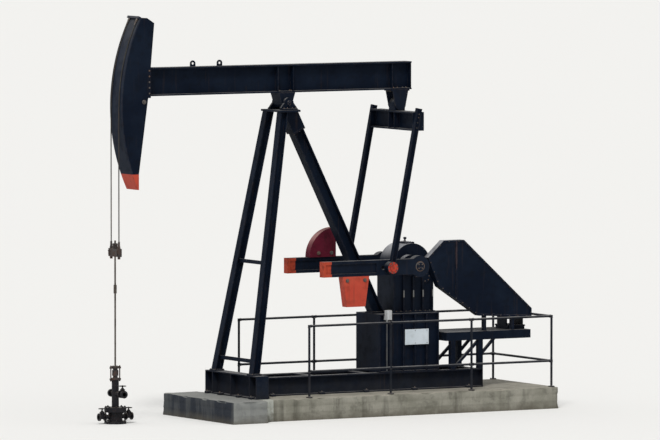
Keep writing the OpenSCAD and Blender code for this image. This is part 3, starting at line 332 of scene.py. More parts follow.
def makePaint(name, cfg):
    # Paint on steel: patchy fading, grime, runs, dust with a painted highlight on what faces up, soil near the base
    # and worn edges
    material, tree, shader, point = startFinish(name, cfg["gloss"])
    fading = useGroup(tree, "patches", point, Scale=1.1, Low=0.35, High=0.7)
    grime = useGroup(tree, "patches", point, Scale=6.0, Low=0.46, High=0.72)
    runs = useGroup(tree, "streaks", point, Across=16.0, Down=0.9, Low=0.56, High=0.74)
    dustAndHighlight = useGroup(tree, "dustAndHighlight", point, Amount=cfg["dustAndHighlight"])
    soil = useGroup(tree, "groundDirt", point, Level=cfg["soilLevel"], Reach=cfg["soilReach"])
    edge = useGroup(tree, "edges", point, Width=cfg["edgeWidth"], Scale=8.0)
    colour = over(tree, fading, cfg["colour"], cfg["faded"])
    if "second" in cfg:
        colour = over(tree, paintedArea(tree, point, *cfg["second"]), colour, cfg["secondColour"])
    for mask, share, coat in ((grime, cfg["grime"], cfg["grimeColour"]), (runs, cfg["runs"], cfg["runColour"]),
                              (dustAndHighlight, 1.0, cfg["dustAndHighlightColour"]), (soil, cfg["soil"], soilColour),
                              (edge, cfg["edge"], cfg["edgeColour"])):
        colour = over(tree, times(tree, mask, share), colour, coat)
    tree.links.new(colour, shader["Base Color"])
    rough = overNumber(tree, grime, cfg["rough"], cfg["rough"] + 0.14)
    for mask in (dustAndHighlight, soil):
        rough = overNumber(tree, mask, rough, 0.95)
    tree.links.new(rough, shader["Roughness"])
    setRelief(tree, shader, point, cfg["relief"])
    return material


brushed = {"fine": 90.0, "coarse": 7.0, "share": 0.55, "strength": 0.35, "depth": 0.004}
casting = {"fine": 170.0, "coarse": 16.0, "share": 0.4, "strength": 0.6, "depth": 0.006}
soilColour = (0.13, 0.12, 0.105)
darkPaint = {
    "colour": (0.0022, 0.0050, 0.0125), "faded": (0.0052, 0.0098, 0.0200),
    "grime": 0.5, "grimeColour": (0.0035, 0.0045, 0.0070),
    "runs": 0.30, "runColour": (0.040, 0.026, 0.020),
    "dustAndHighlight": 0.80, "dustAndHighlightColour": (0.215, 0.210, 0.205),
    "soil": 0.12, "soilLevel": 0.47, "soilReach": 0.9,
    "edge": 0.6, "edgeWidth": 0.012, "edgeColour": (0.062, 0.048, 0.042),
    "rough": 0.56, "gloss": 0.05, "relief": brushed,
}
darkCasting = {**darkPaint, "relief": casting, "gloss": 0.07}
# A lighter copy of the dark paint for the horsehead's face: painted light, the face towards the well made lighter than
# the sides
litFacePaint = {**darkPaint, "colour": (0.0110, 0.0155, 0.0265), "faded": (0.0190, 0.0250, 0.0390)}
# Paint rubbed along the guard's seam. Pale grey dust at full strength on what faces up: dust and a painted highlight
# on the guard's rim and the lid's top
guardPaint = {**darkPaint, "dustAndHighlight": 1.0, "dustAndHighlightColour": (0.40, 0.40, 0.41),
              "second": ((4.0, 0, 3.36), (1, 0, 0.055), 0.020), "secondColour": (0.034, 0.024, 0.028)}
railPaint = {**darkPaint, "colour": (0.0080, 0.0105, 0.0160), "faded": (0.0180, 0.0200, 0.0260), "dustAndHighlight": 1.0}
orangePaint = {
    **darkPaint, "colour": (0.405, 0.045, 0.024), "faded": (0.470, 0.075, 0.040),
    "grime": 0.55, "grimeColour": (0.19, 0.032, 0.018),
    "runs": 0.6, "runColour": (0.10, 0.035, 0.022), "dustAndHighlight": 0.4, "dustAndHighlightColour": (0.38, 0.27, 0.19),
    "edge": 0.8, "edgeColour": (0.07, 0.03, 0.02), "soil": 0.0, "gloss": 0.18,
}
# The cranks' tips and the wrist bearings' caps are orange
crankCasting = {**darkCasting, "second": ((0.265, 0, 0), (1, 0, 0), 0.450), "secondColour": (0.390, 0.055, 0.028)}
bearingPaint = {**darkCasting, "second": ((2.140, 0, 3.150), (1, 0, 1), 0.122), "secondColour": (0.430, 0.050, 0.030)}
paleEnamel = {
    **darkPaint, "colour": (0.42, 0.42, 0.39), "faded": (0.52, 0.51, 0.48),
    "grime": 0.35, "grimeColour": (0.20, 0.19, 0.16), "runs": 0.35, "runColour": (0.20, 0.13, 0.08),
    "dustAndHighlight": 0.5, "dustAndHighlightColour": (0.35, 0.31, 0.25), "soil": 0.2,
    "edgeColour": (0.16, 0.09, 0.05), "gloss": 0.3, "rough": 0.45,
}
# The conduit under the switch box is dark
switchPaint = {**paleEnamel, "colour": (0.44, 0.46, 0.47), "second": ((0, 0, 0), (0, 0, 1), 1.955),
               "secondColour": (0.040, 0.044, 0.050)}
barePlatePaint = {**paleEnamel, "colour": (0.50, 0.56, 0.60), "faded": (0.57, 0.62, 0.66), "grime": 0.22, "runs": 0.2}
# A pale grey for the plates on the reducer's ribs: a painted highlight
ribHighlightPaint = {**paleEnamel, "colour": (0.150, 0.155, 0.155), "faded": (0.205, 0.210, 0.205)}
maroonPaint = {
    **orangePaint, "colour": (0.088, 0.0065, 0.019), "faded": (0.125, 0.016, 0.029),
    "grimeColour": (0.030, 0.006, 0.010), "runColour": (0.04, 0.012, 0.012), "gloss": 0.08,
    "dustAndHighlight": 1.0, "dustAndHighlightColour": (0.44, 0.25, 0.23), "relief": casting,
}


def makeConcrete(name, cfg):
    # Formed concrete: patches, stains, streaks, a dusty top with a painted highlight, painted shade on the end towards
    # the well, a damp foot and fine pitting
    material, tree, shader, point = startFinish(name, cfg["gloss"])

    def coat(mask, share, paint):
        return over(tree, times(tree, mask, share), colour, paint)

    stains = useGroup(tree, "patches", point, Scale=5.0, Low=0.5, High=0.66)
    runs = useGroup(tree, "streaks", point, Across=5.0, Down=0.5, Low=0.5, High=0.68)
    fineRuns = useGroup(tree, "streaks", point, Across=22.0, Down=1.1, Low=0.55, High=0.7)
    colour = over(tree, useGroup(tree, "patches", point, Scale=1.6, Low=0.35, High=0.68), cfg["colour"], cfg["pale"])
    colour = coat(stains, 0.55, cfg["stain"])
    colour = coat(runs, 0.6, cfg["streak"])
    colour = coat(fineRuns, 0.45, cfg["pale"])
    colour = coat(useGroup(tree, "dustAndHighlight", point, Amount=0.8), 1.0, cfg["dustAndHighlight"])
    # The wide block is greyer than the long one, with a paler band where they meet
    joint = cfg["blockX"]
    block = spread(tree, part(tree, point, "X"), joint + 0.06, joint - 0.06)
    colour = coat(block, 0.6, cfg["block"])
    seam = paintedArea(tree, point, (joint + 0.13, 0, 0), (1, 0, 0), 0.13)
    worn = useGroup(tree, "patches", point, Scale=4.0, Low=0.30, High=0.52)
    colour = coat(seam, times(tree, worn, 0.7), cfg["paleBand"])
    # Painted shade over oil stains: the faces that look towards the well are darkened, in uneven bands
    shadedEnd = spread(tree, faceTurn(tree, "X"), -0.55, -0.9)
    bands = useGroup(tree, "streaks", point, Across=3.2, Down=0.4, Low=0.42, High=0.62)
    colour = coat(shadedEnd, spread(tree, bands, 0.0, 1.0, 1.0, 0.80), cfg["oil"])
    colour = coat(useGroup(tree, "groundDirt", point, Level=0.0, Reach=0.32), 0.75, cfg["foot"])
    pits = put(tree, "ShaderNodeTexVoronoi", {"Vector": point, "Scale": 42.0, "Randomness": 1.0})
    pitted = times(tree, spread(tree, pits.outputs["Distance"], 0.26, 0.12),
                   useGroup(tree, "patches", point, Scale=3.0, Low=0.45, High=0.6))
    colour = coat(pitted, 0.6, cfg["foot"])
    tree.links.new(colour, shader["Base Color"])
    tree.links.new(overNumber(tree, stains, 0.82, 0.95), shader["Roughness"])
    grain = useGroup(tree, "relief", point, Fine=85.0, Coarse=11.0, Share=0.5)
    setBump(tree, shader, maths(tree, "SUBTRACT", grain, times(tree, pitted, 0.7)), 0.9, 0.012)
    return material


concrete = {
    "colour": (0.185, 0.180, 0.145), "pale": (0.29, 0.28, 0.235), "stain": (0.105, 0.102, 0.083),
    "streak": (0.09, 0.087, 0.070), "dustAndHighlight": (0.36, 0.33, 0.27), "foot": (0.075, 0.066, 0.050), "gloss": 0.2,
    # oil: the colour of the painted shade on the end towards the well, over its oil stains
    "oil": (0.017, 0.021, 0.029), "block": (0.185, 0.200, 0.207), "paleBand": (0.40, 0.42, 0.38),
    "blockX": -1.23,        # where the wide block ends
}


def makeRustedSteel(name, cfg):
    # Bare steel under old rust, with oil where it is handled
    material, tree, shader, point = startFinish(name, cfg["gloss"])
    rust = useGroup(tree, "patches", point, Scale=7.0, Low=0.38, High=0.62)
    fresh = useGroup(tree, "patches", point, Scale=26.0, Low=0.54, High=0.7)
    oil = times(tree, useGroup(tree, "patches", point, Scale=2.6, Low=0.47, High=0.6), cfg["oil"])
    colour = over(tree, rust, cfg["steel"], cfg["rust"])
    colour = over(tree, times(tree, fresh, 0.6), colour, cfg["freshRust"])
    colour = over(tree, oil, colour, cfg["oilColour"])
    colour = over(tree, useGroup(tree, "dustAndHighlight", point, Amount=cfg["dustAndHighlight"]), colour, cfg["dustAndHighlightColour"])
    tree.links.new(colour, shader["Base Color"])
    tree.links.new(overNumber(tree, rust, 0.45, 0.0), shader["Metallic"])
    rough = overNumber(tree, rust, 0.42, 0.88)
    tree.links.new(overNumber(tree, oil, rough, 0.34), shader["Roughness"])
    setRelief(tree, shader, point, cfg["relief"])
    return material


rustedSteel = {
    "steel": (0.034, 0.030, 0.030), "rust": (0.048, 0.025, 0.017), "freshRust": (0.135, 0.050, 0.025),
    "oil": 0.65, "oilColour": (0.012, 0.011, 0.010), "dustAndHighlight": 0.55, "dustAndHighlightColour": (0.23, 0.19, 0.14),
    "gloss": 0.4, "relief": casting,
}
# The well head's lower castings are black with oil
wellCasting = {
    **rustedSteel, "steel": (0.010, 0.011, 0.014), "rust": (0.011, 0.010, 0.012), "freshRust": (0.050, 0.024, 0.017),
    "oil": 0.75, "oilColour": (0.004, 0.004, 0.006), "dustAndHighlight": 0.30, "gloss": 0.2,
}
fastenerSteel = {
    **rustedSteel, "steel": (0.10, 0.098, 0.095), "rust": (0.085, 0.052, 0.036), "oil": 0.3, "dustAndHighlight": 0.35,
    "relief": brushed,
}


def makeBrightSteel(name, cfg):
    # Turned steel that a packing rubs bright, under a drying film of oil
    material, tree, shader, point = startFinish(name, cfg["gloss"])
    film = useGroup(tree, "patches", point, Scale=5.0, Low=0.42, High=0.66)
    tree.links.new(over(tree, film, cfg["colour"], cfg["film"]), shader["Base Color"])
    shader["Metallic"].default_value = 1.0
    tree.links.new(overNumber(tree, film, 0.24, 0.42), shader["Roughness"])
    setRelief(tree, shader, point, cfg["relief"])
    return material


brightSteel = {"colour": (0.125, 0.112, 0.100), "film": (0.050, 0.040, 0.032), "gloss": 0.5,
               "relief": {"fine": 260.0, "coarse": 30.0, "share": 0.3, "strength": 0.2, "depth": 0.001}}


def makeRope(name, cfg):
    # Greased wire rope: dark grease in the lays and dull rust on the crowns
    material, tree, shader, point = startFinish(name, cfg["gloss"])
    crown = useGroup(tree, "patches", point, Scale=34.0, Low=0.42, High=0.62)
    rust = useGroup(tree, "patches", point, Scale=3.0, Low=0.5, High=0.66)
    colour = over(tree, crown, cfg["grease"], cfg["wire"])
    tree.links.new(over(tree, times(tree, rust, 0.6), colour, cfg["rust"]), shader["Base Color"])
    tree.links.new(overNumber(tree, crown, 0.0, 0.7), shader["Metallic"])
    tree.links.new(overNumber(tree, crown, 0.35, 0.55), shader["Roughness"])
    setRelief(tree, shader, point, cfg["relief"])
    return material


ropeLook = {"grease": (0.010, 0.009, 0.008), "wire": (0.055, 0.048, 0.040), "rust": (0.052, 0.030, 0.019),
            "gloss": 0.45,
            "relief": {"fine": 420.0, "coarse": 60.0, "share": 0.4, "strength": 0.5, "depth": 0.001}}

finishes = {
    "concrete": makeConcrete("formedConcrete", concrete),
    "black_paint": makePaint("dustyBlackPaint", darkPaint),
    "black_casting": makePaint("blackCasting", darkCasting),
    "orange_paint": makePaint("wornOrangePaint", orangePaint),
    "orange_casting": makePaint("orangeCasting", {**orangePaint, "relief": casting}),
    "maroon_casting": makePaint("maroonCasting", maroonPaint),
    "crank_casting": makePaint("crankCasting", crankCasting),
    "bearing_paint": makePaint("bearingPaint", bearingPaint),
    "lit_face_paint": makePaint("litFacePaint", litFacePaint),
    "guard_paint": makePaint("guardPaint", guardPaint),
    "rail_paint": makePaint("railPaint", railPaint),
    "switch_paint": makePaint("switchPaint", switchPaint),
    "rib_highlight_paint": makePaint("ribHighlightPaint", ribHighlightPaint),
    "pale_enamel": makePaint("paleEnamel", paleEnamel),
    "bare_plate": makePaint("barePlate", barePlatePaint),
    "rusty_steel": makeRustedSteel("rustedSteel", rustedSteel),
    "well_casting": makeRustedSteel("wellCasting", wellCasting),
    "fastener": makeRustedSteel("fastenerSteel", fastenerSteel),
    "wire_rope": makeRope("greasedRope", ropeLook),
    "polished_steel": makeBrightSteel("oiledRod", brightSteel),
}

# Nodes whose finish is not the plain one of their slot
ownFinish = {
    "crank_near": "crank_casting", "crank_far": "crank_casting", "wrist_bearings": "bearing_paint",
    "horsehead_face": "lit_face_paint", "guard_rail_near": "rail_paint", "guard_rail_far": "rail_paint",
    "guard_rail_rear": "rail_paint", "switch_box": "switch_paint", "crankshaft": "fastener",
    "belt_guard": "guard_paint", "reducer_cover": "guard_paint",
    "casing_head": "well_casting", "tubing_tee": "well_casting",
}
slotOf = {row["node"]: row["material_slot"] for row in frame["record"]["subparts"]}
for name, node in nodes.items():
    node.data.materials.clear()
    node.data.materials.append(finishes[ownFinish.get(name, slotOf[name])])
print("finishes on", len(nodes), "nodes")


# Helpers for the added pieces

def toMesh(name, bm):
    bmesh.ops.remove_doubles(bm, verts=bm.verts, dist=1e-6)
    bmesh.ops.recalc_face_normals(bm, faces=bm.faces)
    mesh = bpy.data.meshes.new(name)
    bm.to_mesh(mesh)
    bm.free()
    return mesh


def finishPiece(name, bm, body, slot, finish=None, smooth=35):
    mesh = toMesh(name, bm)
    for face in mesh.polygons:
        face.use_smooth = True
    mesh.set_sharp_from_angle(angle=math.radians(smooth))
    mesh.materials.append(finishes[finish or slot])
    piece = bpy.data.objects.new(name, mesh)
    scene.collection.objects.link(piece)
    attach(piece, body)
    return piece


def facing(point, axis, turn=0.0):
    # The matrix that sets a piece drawn along +Z onto point, looking along axis
    spin = Matrix.Rotation(turn, 4, "Z")
    return Matrix.Translation(point) @ Vector(axis).to_track_quat("Z", "Y").to_matrix().to_4x4() @ spin


def turned(bm, profile, place, segments):
    # A round piece from its outline of radius and height pairs
    made = [bm.verts.new((r, 0, z)) for r, z in profile]
    edges = [bm.edges.new(pair) for pair in zip(made, made[1:])]
    spun = bmesh.ops.spin(bm, geom=made + edges, axis=up, cent=(0, 0, 0), angle=math.tau,
                          steps=segments, use_merge=True)
    verts = {v for v in spun["geom_last"] if isinstance(v, bmesh.types.BMVert)} | set(made)
    grown = set(verts)
    while grown:
        grown = {e.other_vert(v) for v in grown for e in v.link_edges} - verts
        verts |= grown
    bmesh.ops.remove_doubles(bm, verts=list(verts), dist=1e-5)
    bmesh.ops.transform(bm, matrix=place, verts=[v for v in verts if v.is_valid])


def slab(bm, outline, height, place, bevel=0.0, segments=2):
    # A flat piece from its outline in X and Y, thickened along Z, with its edges rounded
    base = bm.faces.new([bm.verts.new((x, y, 0)) for x, y in outline])
    grown = bmesh.ops.extrude_face_region(bm, geom=[base])["geom"]
    top = [v for v in grown if isinstance(v, bmesh.types.BMVert)]
    bmesh.ops.translate(bm, verts=top, vec=(0, 0, height))
    verts = set(top) | set(base.verts)
    if bevel:
        edges = list({e for v in verts for e in v.link_edges})
        made = bmesh.ops.bevel(bm, geom=edges, offset=bevel, segments=segments, profile=0.5, material=-1,
                               affect="EDGES")
        verts = {v for v in verts if v.is_valid} | set(made["verts"])
    bmesh.ops.transform(bm, matrix=place, verts=list(verts))


def rectangle(w, h, cx=0.0, cy=0.0):
    return [(cx - w / 2, cy - h / 2), (cx + w / 2, cy - h / 2), (cx + w / 2, cy + h / 2), (cx - w / 2, cy + h / 2)]


def stamp(bm, mesh, place):
    for v in bm.verts:
        v.tag = True
    bm.from_mesh(mesh)
    bmesh.ops.transform(bm, matrix=place, verts=[v for v in bm.verts if not v.tag])


def drawHexagon(bm, low, high):
    base = bmesh.ops.create_circle(bm, cap_ends=True, segments=6, radius=1.0)["verts"]
    grown = bmesh.ops.extrude_face_region(bm, geom=[base[0].link_faces[0]])["geom"]
    top = [v for v in grown if isinstance(v, bmesh.types.BMVert)]
    bmesh.ops.translate(bm, verts=base, vec=(0, 0, low))
    bmesh.ops.translate(bm, verts=top, vec=(0, 0, high))
    rim = [e for e in {e for v in top for e in v.link_edges} if all(v in top for v in e.verts)]
    bmesh.ops.bevel(bm, geom=rim, offset=0.13, segments=2, profile=0.5, material=-1, affect="EDGES")


washer = [(0, 0), (1.32, 0), (1.32, 0.14), (1.27, 0.2), (0, 0.2)]     # a head's corners are at 1


def drawBolt(bm):
    turned(bm, washer, Matrix(), 20)
    drawHexagon(bm, 0.2, 0.95)
    turned(bm, [(0, 0.9), (0.72, 0.93), (0.70, 1.0), (0, 1.02)], Matrix(), 16)


def drawNut(bm):
    # The nut with the end of its threaded stud
    turned(bm, washer, Matrix(), 20)
    drawHexagon(bm, 0.2, 1.0)
    thread = [p for i in range(5) for p in ((0.56, 0.92 + 0.12 * i), (0.50, 0.98 + 0.12 * i))]
    turned(bm, [(0, 0.9), *thread, (0.42, 1.52), (0, 1.55)], Matrix(), 12)


def template(draw):
    bm = bmesh.new()
    draw(bm)
    return toMesh("template", bm)


boltMesh, nutMesh = template(drawBolt), template(drawNut)


def addBolts(name, body, size, places, kind=boltMesh, finish="fastener"):
    # places: pairs of a point and the direction that the head faces
    bm = bmesh.new()
    for point, axis in places:
        stamp(bm, kind, facing(point, axis, rng.uniform(0, math.tau)) @ Matrix.Scale(size, 4))
    finishPiece(name, bm, body, "rusty_steel", finish, smooth=30)


def ring(centre, axis, radius, count, first):
    # Points evenly round an axis, each facing along it
    turn = Vector(axis).to_track_quat("Z", "Y").to_matrix()
    return [(Vector(centre) + turn @ Vector((radius * math.cos(a), radius * math.sin(a), 0)), axis)
            for a in (first + math.tau * i / count for i in range(count))]


def rings(places, radius, count, first):
    return [p for point, axis in places for p in ring(point, axis, radius, count, first)]


def mirrored(x, y, z):
    # A point on each side of the machine, facing outwards
    return [((x, side * y, z), (0, side, 0)) for side in sides]


def addTurned(name, body, profile, places, segments, slot="black_casting", finish=None):
    # The same round piece at each place
    bm = bmesh.new()
    for point, axis in places:
        turned(bm, profile, facing(point, axis), segments)
    finishPiece(name, bm, body, slot, finish)


def addPlates(name, body, size, places, bevel, slot, finish=None, segments=2):
    # The same flat plate at each place, from its width, height and thickness
    width, height, thick = size
    bm = bmesh.new()
    for point, axis in places:
        slab(bm, rectangle(width, height), thick, facing(point, axis), bevel, segments)
    finishPiece(name, bm, body, slot, finish)


def tube(bm, path, radius, corners, ripple=None):
    # A pipe along a path of points, closed at both ends
    loops, side = [], None
    path = [Vector(p) for p in path]
    for i, p in enumerate(path):
        ahead = (path[min(i + 1, len(path) - 1)] - path[max(i - 1, 0)]).normalized()
        if side is None:
            side = ahead.orthogonal().normalized()
        side = (side - ahead * side.dot(ahead)).normalized()
        across = ahead.cross(side)
        r = radius * (ripple[i] if ripple else 1.0)
        loops.append([bm.verts.new(p + (side * math.cos(a) + across * math.sin(a)) * r)
                      for a in (math.tau * k / corners for k in range(corners))])
    for a, b in zip(loops, loops[1:]):
        for k in range(corners):
            bm.faces.new((a[k], a[(k + 1) % corners], b[(k + 1) % corners], b[k]))
    bm.faces.new(loops[0][::-1])
    bm.faces.new(loops[-1])


def hoop(centre, radius, points):
    # A closed path that stands in the XZ plane
    return [centre + Vector((radius * math.cos(a), 0, radius * math.sin(a)))
            for a in (math.tau * i / points for i in range(points + 1))]


weldBead = {"radius": 0.007, "ripple": 0.012}


def bead(bm, a, b):
    # A weld bead whose ripples show
    a, b = Vector(a), Vector(b)
    count = max(4, round((b - a).length / weldBead["ripple"]))
    waves = [rng.uniform(0.72, 1.15) for _ in range(count + 1)]
    tube(bm, [a.lerp(b, i / count) for i in range(count + 1)], weldBead["radius"], 6, waves)


# Concrete base: worn corners, board marks and chipped edges

concreteShape = {
    "grid": 0.11,                   # metres between the surface's points
    "edgeGrid": (0.014, 0.035),     # finer rows next to an edge
    "rows": 5,
    "boards": (0.155, 0.315), "boardGap": 0.008, "boardMark": 0.004,
    "worn": 0.04,                   # how far wear reaches from an edge
    "chip": 0.030, "round": 0.016, "sag": 0.0025,
}


def addConcrete(cfg):
    (x0, _, _), (x1, _, top) = boxes["foundation"]
    corners = [v.co for v in nodes["foundation"].data.vertices]
    across = sorted(round(p.y, 4) for p in corners)
    wideY = across[-1]
    slabY = max(y for y in across if y < wideY - 0.01)
    wideX = max(p.x for p in corners if abs(p.y) > wideY - 0.01)
    bm = bmesh.new()
    slab(bm, [(x0, -wideY), (wideX, -wideY), (wideX, -slabY), (x1, -slabY),
              (x1, slabY), (wideX, slabY), (wideX, wideY), (x0, wideY)], top, Matrix())

    def cut(axis, places):
        for place in places:
            point, normal = [0, 0, 0], [0, 0, 0]
            point[axis], normal[axis] = place, 1
            bmesh.ops.bisect_plane(bm, geom=bm.verts[:] + bm.edges[:] + bm.faces[:], dist=1e-6,
                                   plane_co=point, plane_no=normal)

    def steps(low, high):
        count = max(2, round((high - low) / cfg["grid"]))
        places = [low + (high - low) * i / count for i in range(1, count)]
        return places + [low + d for d in cfg["edgeGrid"]] + [high - d for d in cfg["edgeGrid"]]

    cut(0, steps(x0, wideX) + steps(wideX, x1) + [wideX])
    cut(1, steps(-wideY, -slabY) + steps(-slabY, slabY) + steps(slabY, wideY) + [-slabY, slabY])
    cut(2, [top * i / cfg["rows"] for i in range(1, cfg["rows"])] + [top - d for d in cfg["edgeGrid"]]
        + [b + d for b in cfg["boards"] for d in (0, cfg["boardGap"])])
    near = 0.03
    for v in bm.verts:
        p = v.co.copy()
        if p.z < 0.001:
            continue
        inX = min(p.x - x0, (x1 if abs(p.y) < slabY + 1e-4 else wideX) - p.x)
        inY = (slabY if p.x > wideX + 1e-4 else wideY) - abs(p.y)
        # The distances from the nearest two faces are both small only at an edge
        gaps = sorted((max(inX, 0.0), max(inY, 0.0), top - p.z))
        edge = max(0.0, 1 - (gaps[0] + gaps[1]) / cfg["worn"])
        chip = max(0.0, noise.noise(p * 2.3) + 0.35 * noise.noise(p * 9.0) - 0.12)
        inward = cfg["round"] * edge * (0.6 + 0.4 * noise.noise(p * 5.0)) + cfg["chip"] * edge * min(1.0, 2.4 * chip)
        inward += cfg["sag"] * (1 + noise.noise(p * 1.7))
        board = cfg["boardMark"] if any(abs(p.z - b) < 0.001 for b in cfg["boards"]) else 0.0
        pullX = (1 if p.x < (x0 + wideX) / 2 else -1) if inX < near else 0
        pullY = (-1 if p.y > 0 else 1) if inY < near else 0
        pullZ = -1 if top - p.z < near else 0
        v.co = p + Vector((pullX * (inward + board), pullY * (inward + board), pullZ * inward))
    bmesh.ops.triangulate(bm, faces=bm.faces, quad_method="BEAUTY")
    piece = finishPiece("concreteBase", bm, "frame", "concrete", smooth=50)
    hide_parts("foundation")


addConcrete(concreteShape)
print("concrete base")


# Places that more than one piece uses, in metres

bearingZ = 6.7                      # the centre bearing
equalX, equalZ = 2.82, 6.6          # the equalizer's pin
shaftX, pinX, crankZ = 2.9, 2.14, 3.15
wellX, ropeY = -4.08, 0.17          # the polished rod, and each rope off the middle
slabTop = boxes["foundation"][1][2]
pedestalTop = boxes["reducer_pedestal"][1][2]
welds = bmesh.new()                 # one piece, filled leg by leg


# Post: nuts and welds at the front legs' feet

legFeet = {"half": 0.1175, "plate": 0.03, "nutOut": 0.1, "nut": 0.0115,
           "weldOut": 0.088, "weldZ": 0.031, "acrossHalf": 0.085, "alongHalf": 0.06}


def addLegFeet(cfg):
    beamTop = boxes["front_cross_beam"][1][2]
    x = boxes["samson_leg_near"][0][0] + cfg["half"]
    nuts, out, z = [], cfg["weldOut"], beamTop + cfg["weldZ"]
    for side, outer in zip(sides, (boxes["samson_leg_near"][0][1], boxes["samson_leg_far"][1][1])):
        y = outer - side * cfg["half"]
        nuts += [((x + dx * cfg["nutOut"], y + dy * cfg["nutOut"], beamTop + cfg["plate"]), up)
                 for dx in sides for dy in sides]
        for d in sides:
            bead(welds, (x + d * out, y - cfg["acrossHalf"], z), (x + d * out, y + cfg["acrossHalf"], z))
        for d in sides:
            bead(welds, (x - cfg["alongHalf"], y + d * out, z), (x + cfg["alongHalf"], y + d * out, z))
    addBolts("legFootNuts", "frame", cfg["nut"], nuts, nutMesh)


# Rear leg: nuts on the pedestal, and nuts and welds on its flange under the bracket

rearLeg = {"foot": 2.285, "footNuts": (0.135, 0.14), "low": (2.300, 2.120), "top": (0.310, 6.110), "plate": 0.03,
           "topNuts": (0.142, 0.141), "nut": 0.0105, "weldOut": 0.127, "weldHalf": 0.12}


def addRearLeg(cfg):
    along, across = cfg["footNuts"]
    nuts = [((cfg["foot"] + dx, side * across, pedestalTop + cfg["plate"]), up)
            for dx in (-along, 0, along) for side in sides]
    (lowX, lowZ), (topX, topZ) = cfg["low"], cfg["top"]
    lean = math.atan2(lowX - topX, topZ - lowZ)
    legDown = Vector((math.sin(lean), 0, -math.cos(lean)))
    legOut = Vector((math.cos(lean), 0, math.sin(lean)))
    top = Vector((topX, 0, topZ)) + legDown * cfg["plate"]
    along, across = cfg["topNuts"]
    nuts += [(top + legOut * du + Vector((0, side * across, 0)), legDown)
             for du in (-along, 0, along) for side in sides]
    addBolts("rearLegNuts", "frame", cfg["nut"], nuts, nutMesh)
    half = Vector((0, cfg["weldHalf"], 0))
    for side in sides:
        edge = top + legOut * side * cfg["weldOut"]
        bead(welds, edge - half, edge + half)


# Skid: clamps that hold it on the concrete

skidClamps = {
    "profile": [(-0.035, 0.026), (0, 0.026), (0, 0), (0.078, 0), (0.078, 0.048), (-0.035, 0.048)],
    "length": 0.11, "round": 0.004, "boltX": 0.042, "height": 0.048, "bolt": 0.019,
    "alongRails": (-0.55, 0.65, 1.75, 2.95, 4.3), "frontOfBeam": (-0.95, -0.4, 0.4, 0.95), "behindBeam": (-0.95, 0.95),
}


def addClamps(cfg):
    # places: a point on the concrete at a flange's edge and the way outwards
    railEdge = -boxes["skid_rail_near"][0][1]
    (frontX, _, _), (backX, _, _) = boxes["front_cross_beam"]
    places = [((x, side * railEdge, slabTop), (0, side, 0)) for x in cfg["alongRails"] for side in sides]
    places += [((frontX, y, slabTop), (-1, 0, 0)) for y in cfg["frontOfBeam"]]
    places += [((backX, y, slabTop), (1, 0, 0)) for y in cfg["behindBeam"]]
    bm, bolts = bmesh.new(), []
    for point, out in places:
        x, y = Vector(out), Vector(out).cross(Vector(up))
        rows = Matrix(((x.x, 0, y.x), (x.y, 0, y.y), (x.z, 1, y.z))).to_4x4()
        rows = Matrix.Translation(Vector(point) - y * cfg["length"] / 2) @ rows
        slab(bm, cfg["profile"], cfg["length"], rows, cfg["round"])
        bolts.append((Vector(point) + x * cfg["boltX"] + Vector((0, 0, cfg["height"])), up))
    finishPiece("skidClamps", bm, "frame", "black_paint")
    addBolts("anchorNuts", "frame", cfg["bolt"], bolts, nutMesh)


# Centre bearing: feet on the top plate, and keepers on the shaft's ends

centreBearing = {
    "foot": (0.37, 0.058, 0.034), "rib": (0.02, 0.05, 0.10), "ribOut": 0.026,
    "nutX": (-0.14, -0.06, 0.06, 0.14), "nutOut": 0.031, "nut": 0.0145,
    "keeper": [(0, 0), (0.052, 0), (0.052, 0.010), (0.048, 0.014), (0.020, 0.014), (0.016, 0.020), (0, 0.021)],
    "boltOut": 0.013, "boltRing": 0.036, "bolt": 0.0075,
}


def addCentreBearing(cfg):
    plateTop, outer = boxes["center_bearing_base"][0][2], boxes["center_bearing_base"][1][1]
    (length, width, height), (ribLength, ribWidth, ribHeight) = cfg["foot"], cfg["rib"]
    feet, nuts = bmesh.new(), []
    onPlate = Matrix.Translation((0, 0, plateTop))
    for side in sides:
        slab(feet, rectangle(length, width, 0, side * (outer + width / 2)), height, onPlate, 0.005)
        slab(feet, rectangle(ribLength, ribWidth, 0, side * (outer + cfg["ribOut"])), ribHeight, onPlate, 0.004)
        nuts += [((x, side * (outer + cfg["nutOut"]), plateTop + height), up) for x in cfg["nutX"]]
    finishPiece("bearingFeet", feet, "frame", "black_casting")
    addBolts("bearingFootNuts", "frame", cfg["nut"], nuts, nutMesh)
    addTurned("shaftKeepers", "frame", cfg["keeper"], mirrored(0, outer, bearingZ), 32)
    addBolts("keeperBolts", "frame", cfg["bolt"],
             rings(mirrored(0, outer + cfg["boltOut"], bearingZ), cfg["boltRing"], 4, 0.6))


addLegFeet(legFeet)
addRearLeg(rearLeg)
addClamps(skidClamps)
addCentreBearing(centreBearing)
print("post and skid")


# Gear reducer: flange and lid bolts, pale rib plates as painted highlights, breather and the bosses' caps

reducer = {
    "half": 0.35, "flange": 0.034, "boltIn": 0.022, "boltHalf": 0.055, "bolt": 0.0135,
    "firstRib": 0.045, "ribsLong": 0.956, "bays": 4, "ribHalf": 0.017,
    "bearing": 0.24,                # no flange bolts nearer to the shaft than this
    "endBolts": (-0.24, -0.12, 0, 0.12, 0.24),
    "lidX": 3.02, "lidHalf": 0.08, "lidBolts": (-0.2, -0.1, 0, 0.1, 0.2), "lidBolt": 0.0085,
    "plate": (0.030, 0.15, 0.006), "plateZ": 2.53,
    "breather": [(0, 0), (0.030, 0), (0.030, 0.012), (0.018, 0.016), (0.018, 0.050), (0.034, 0.056), (0.036, 0.085),
                 (0.028, 0.098), (0, 0.100)],
    "capY": 0.335, "capStep": (0.67 / 3, 0.105), "capDown": 0.068, "capRing": 0.083, "capBolt": 0.0105,
}


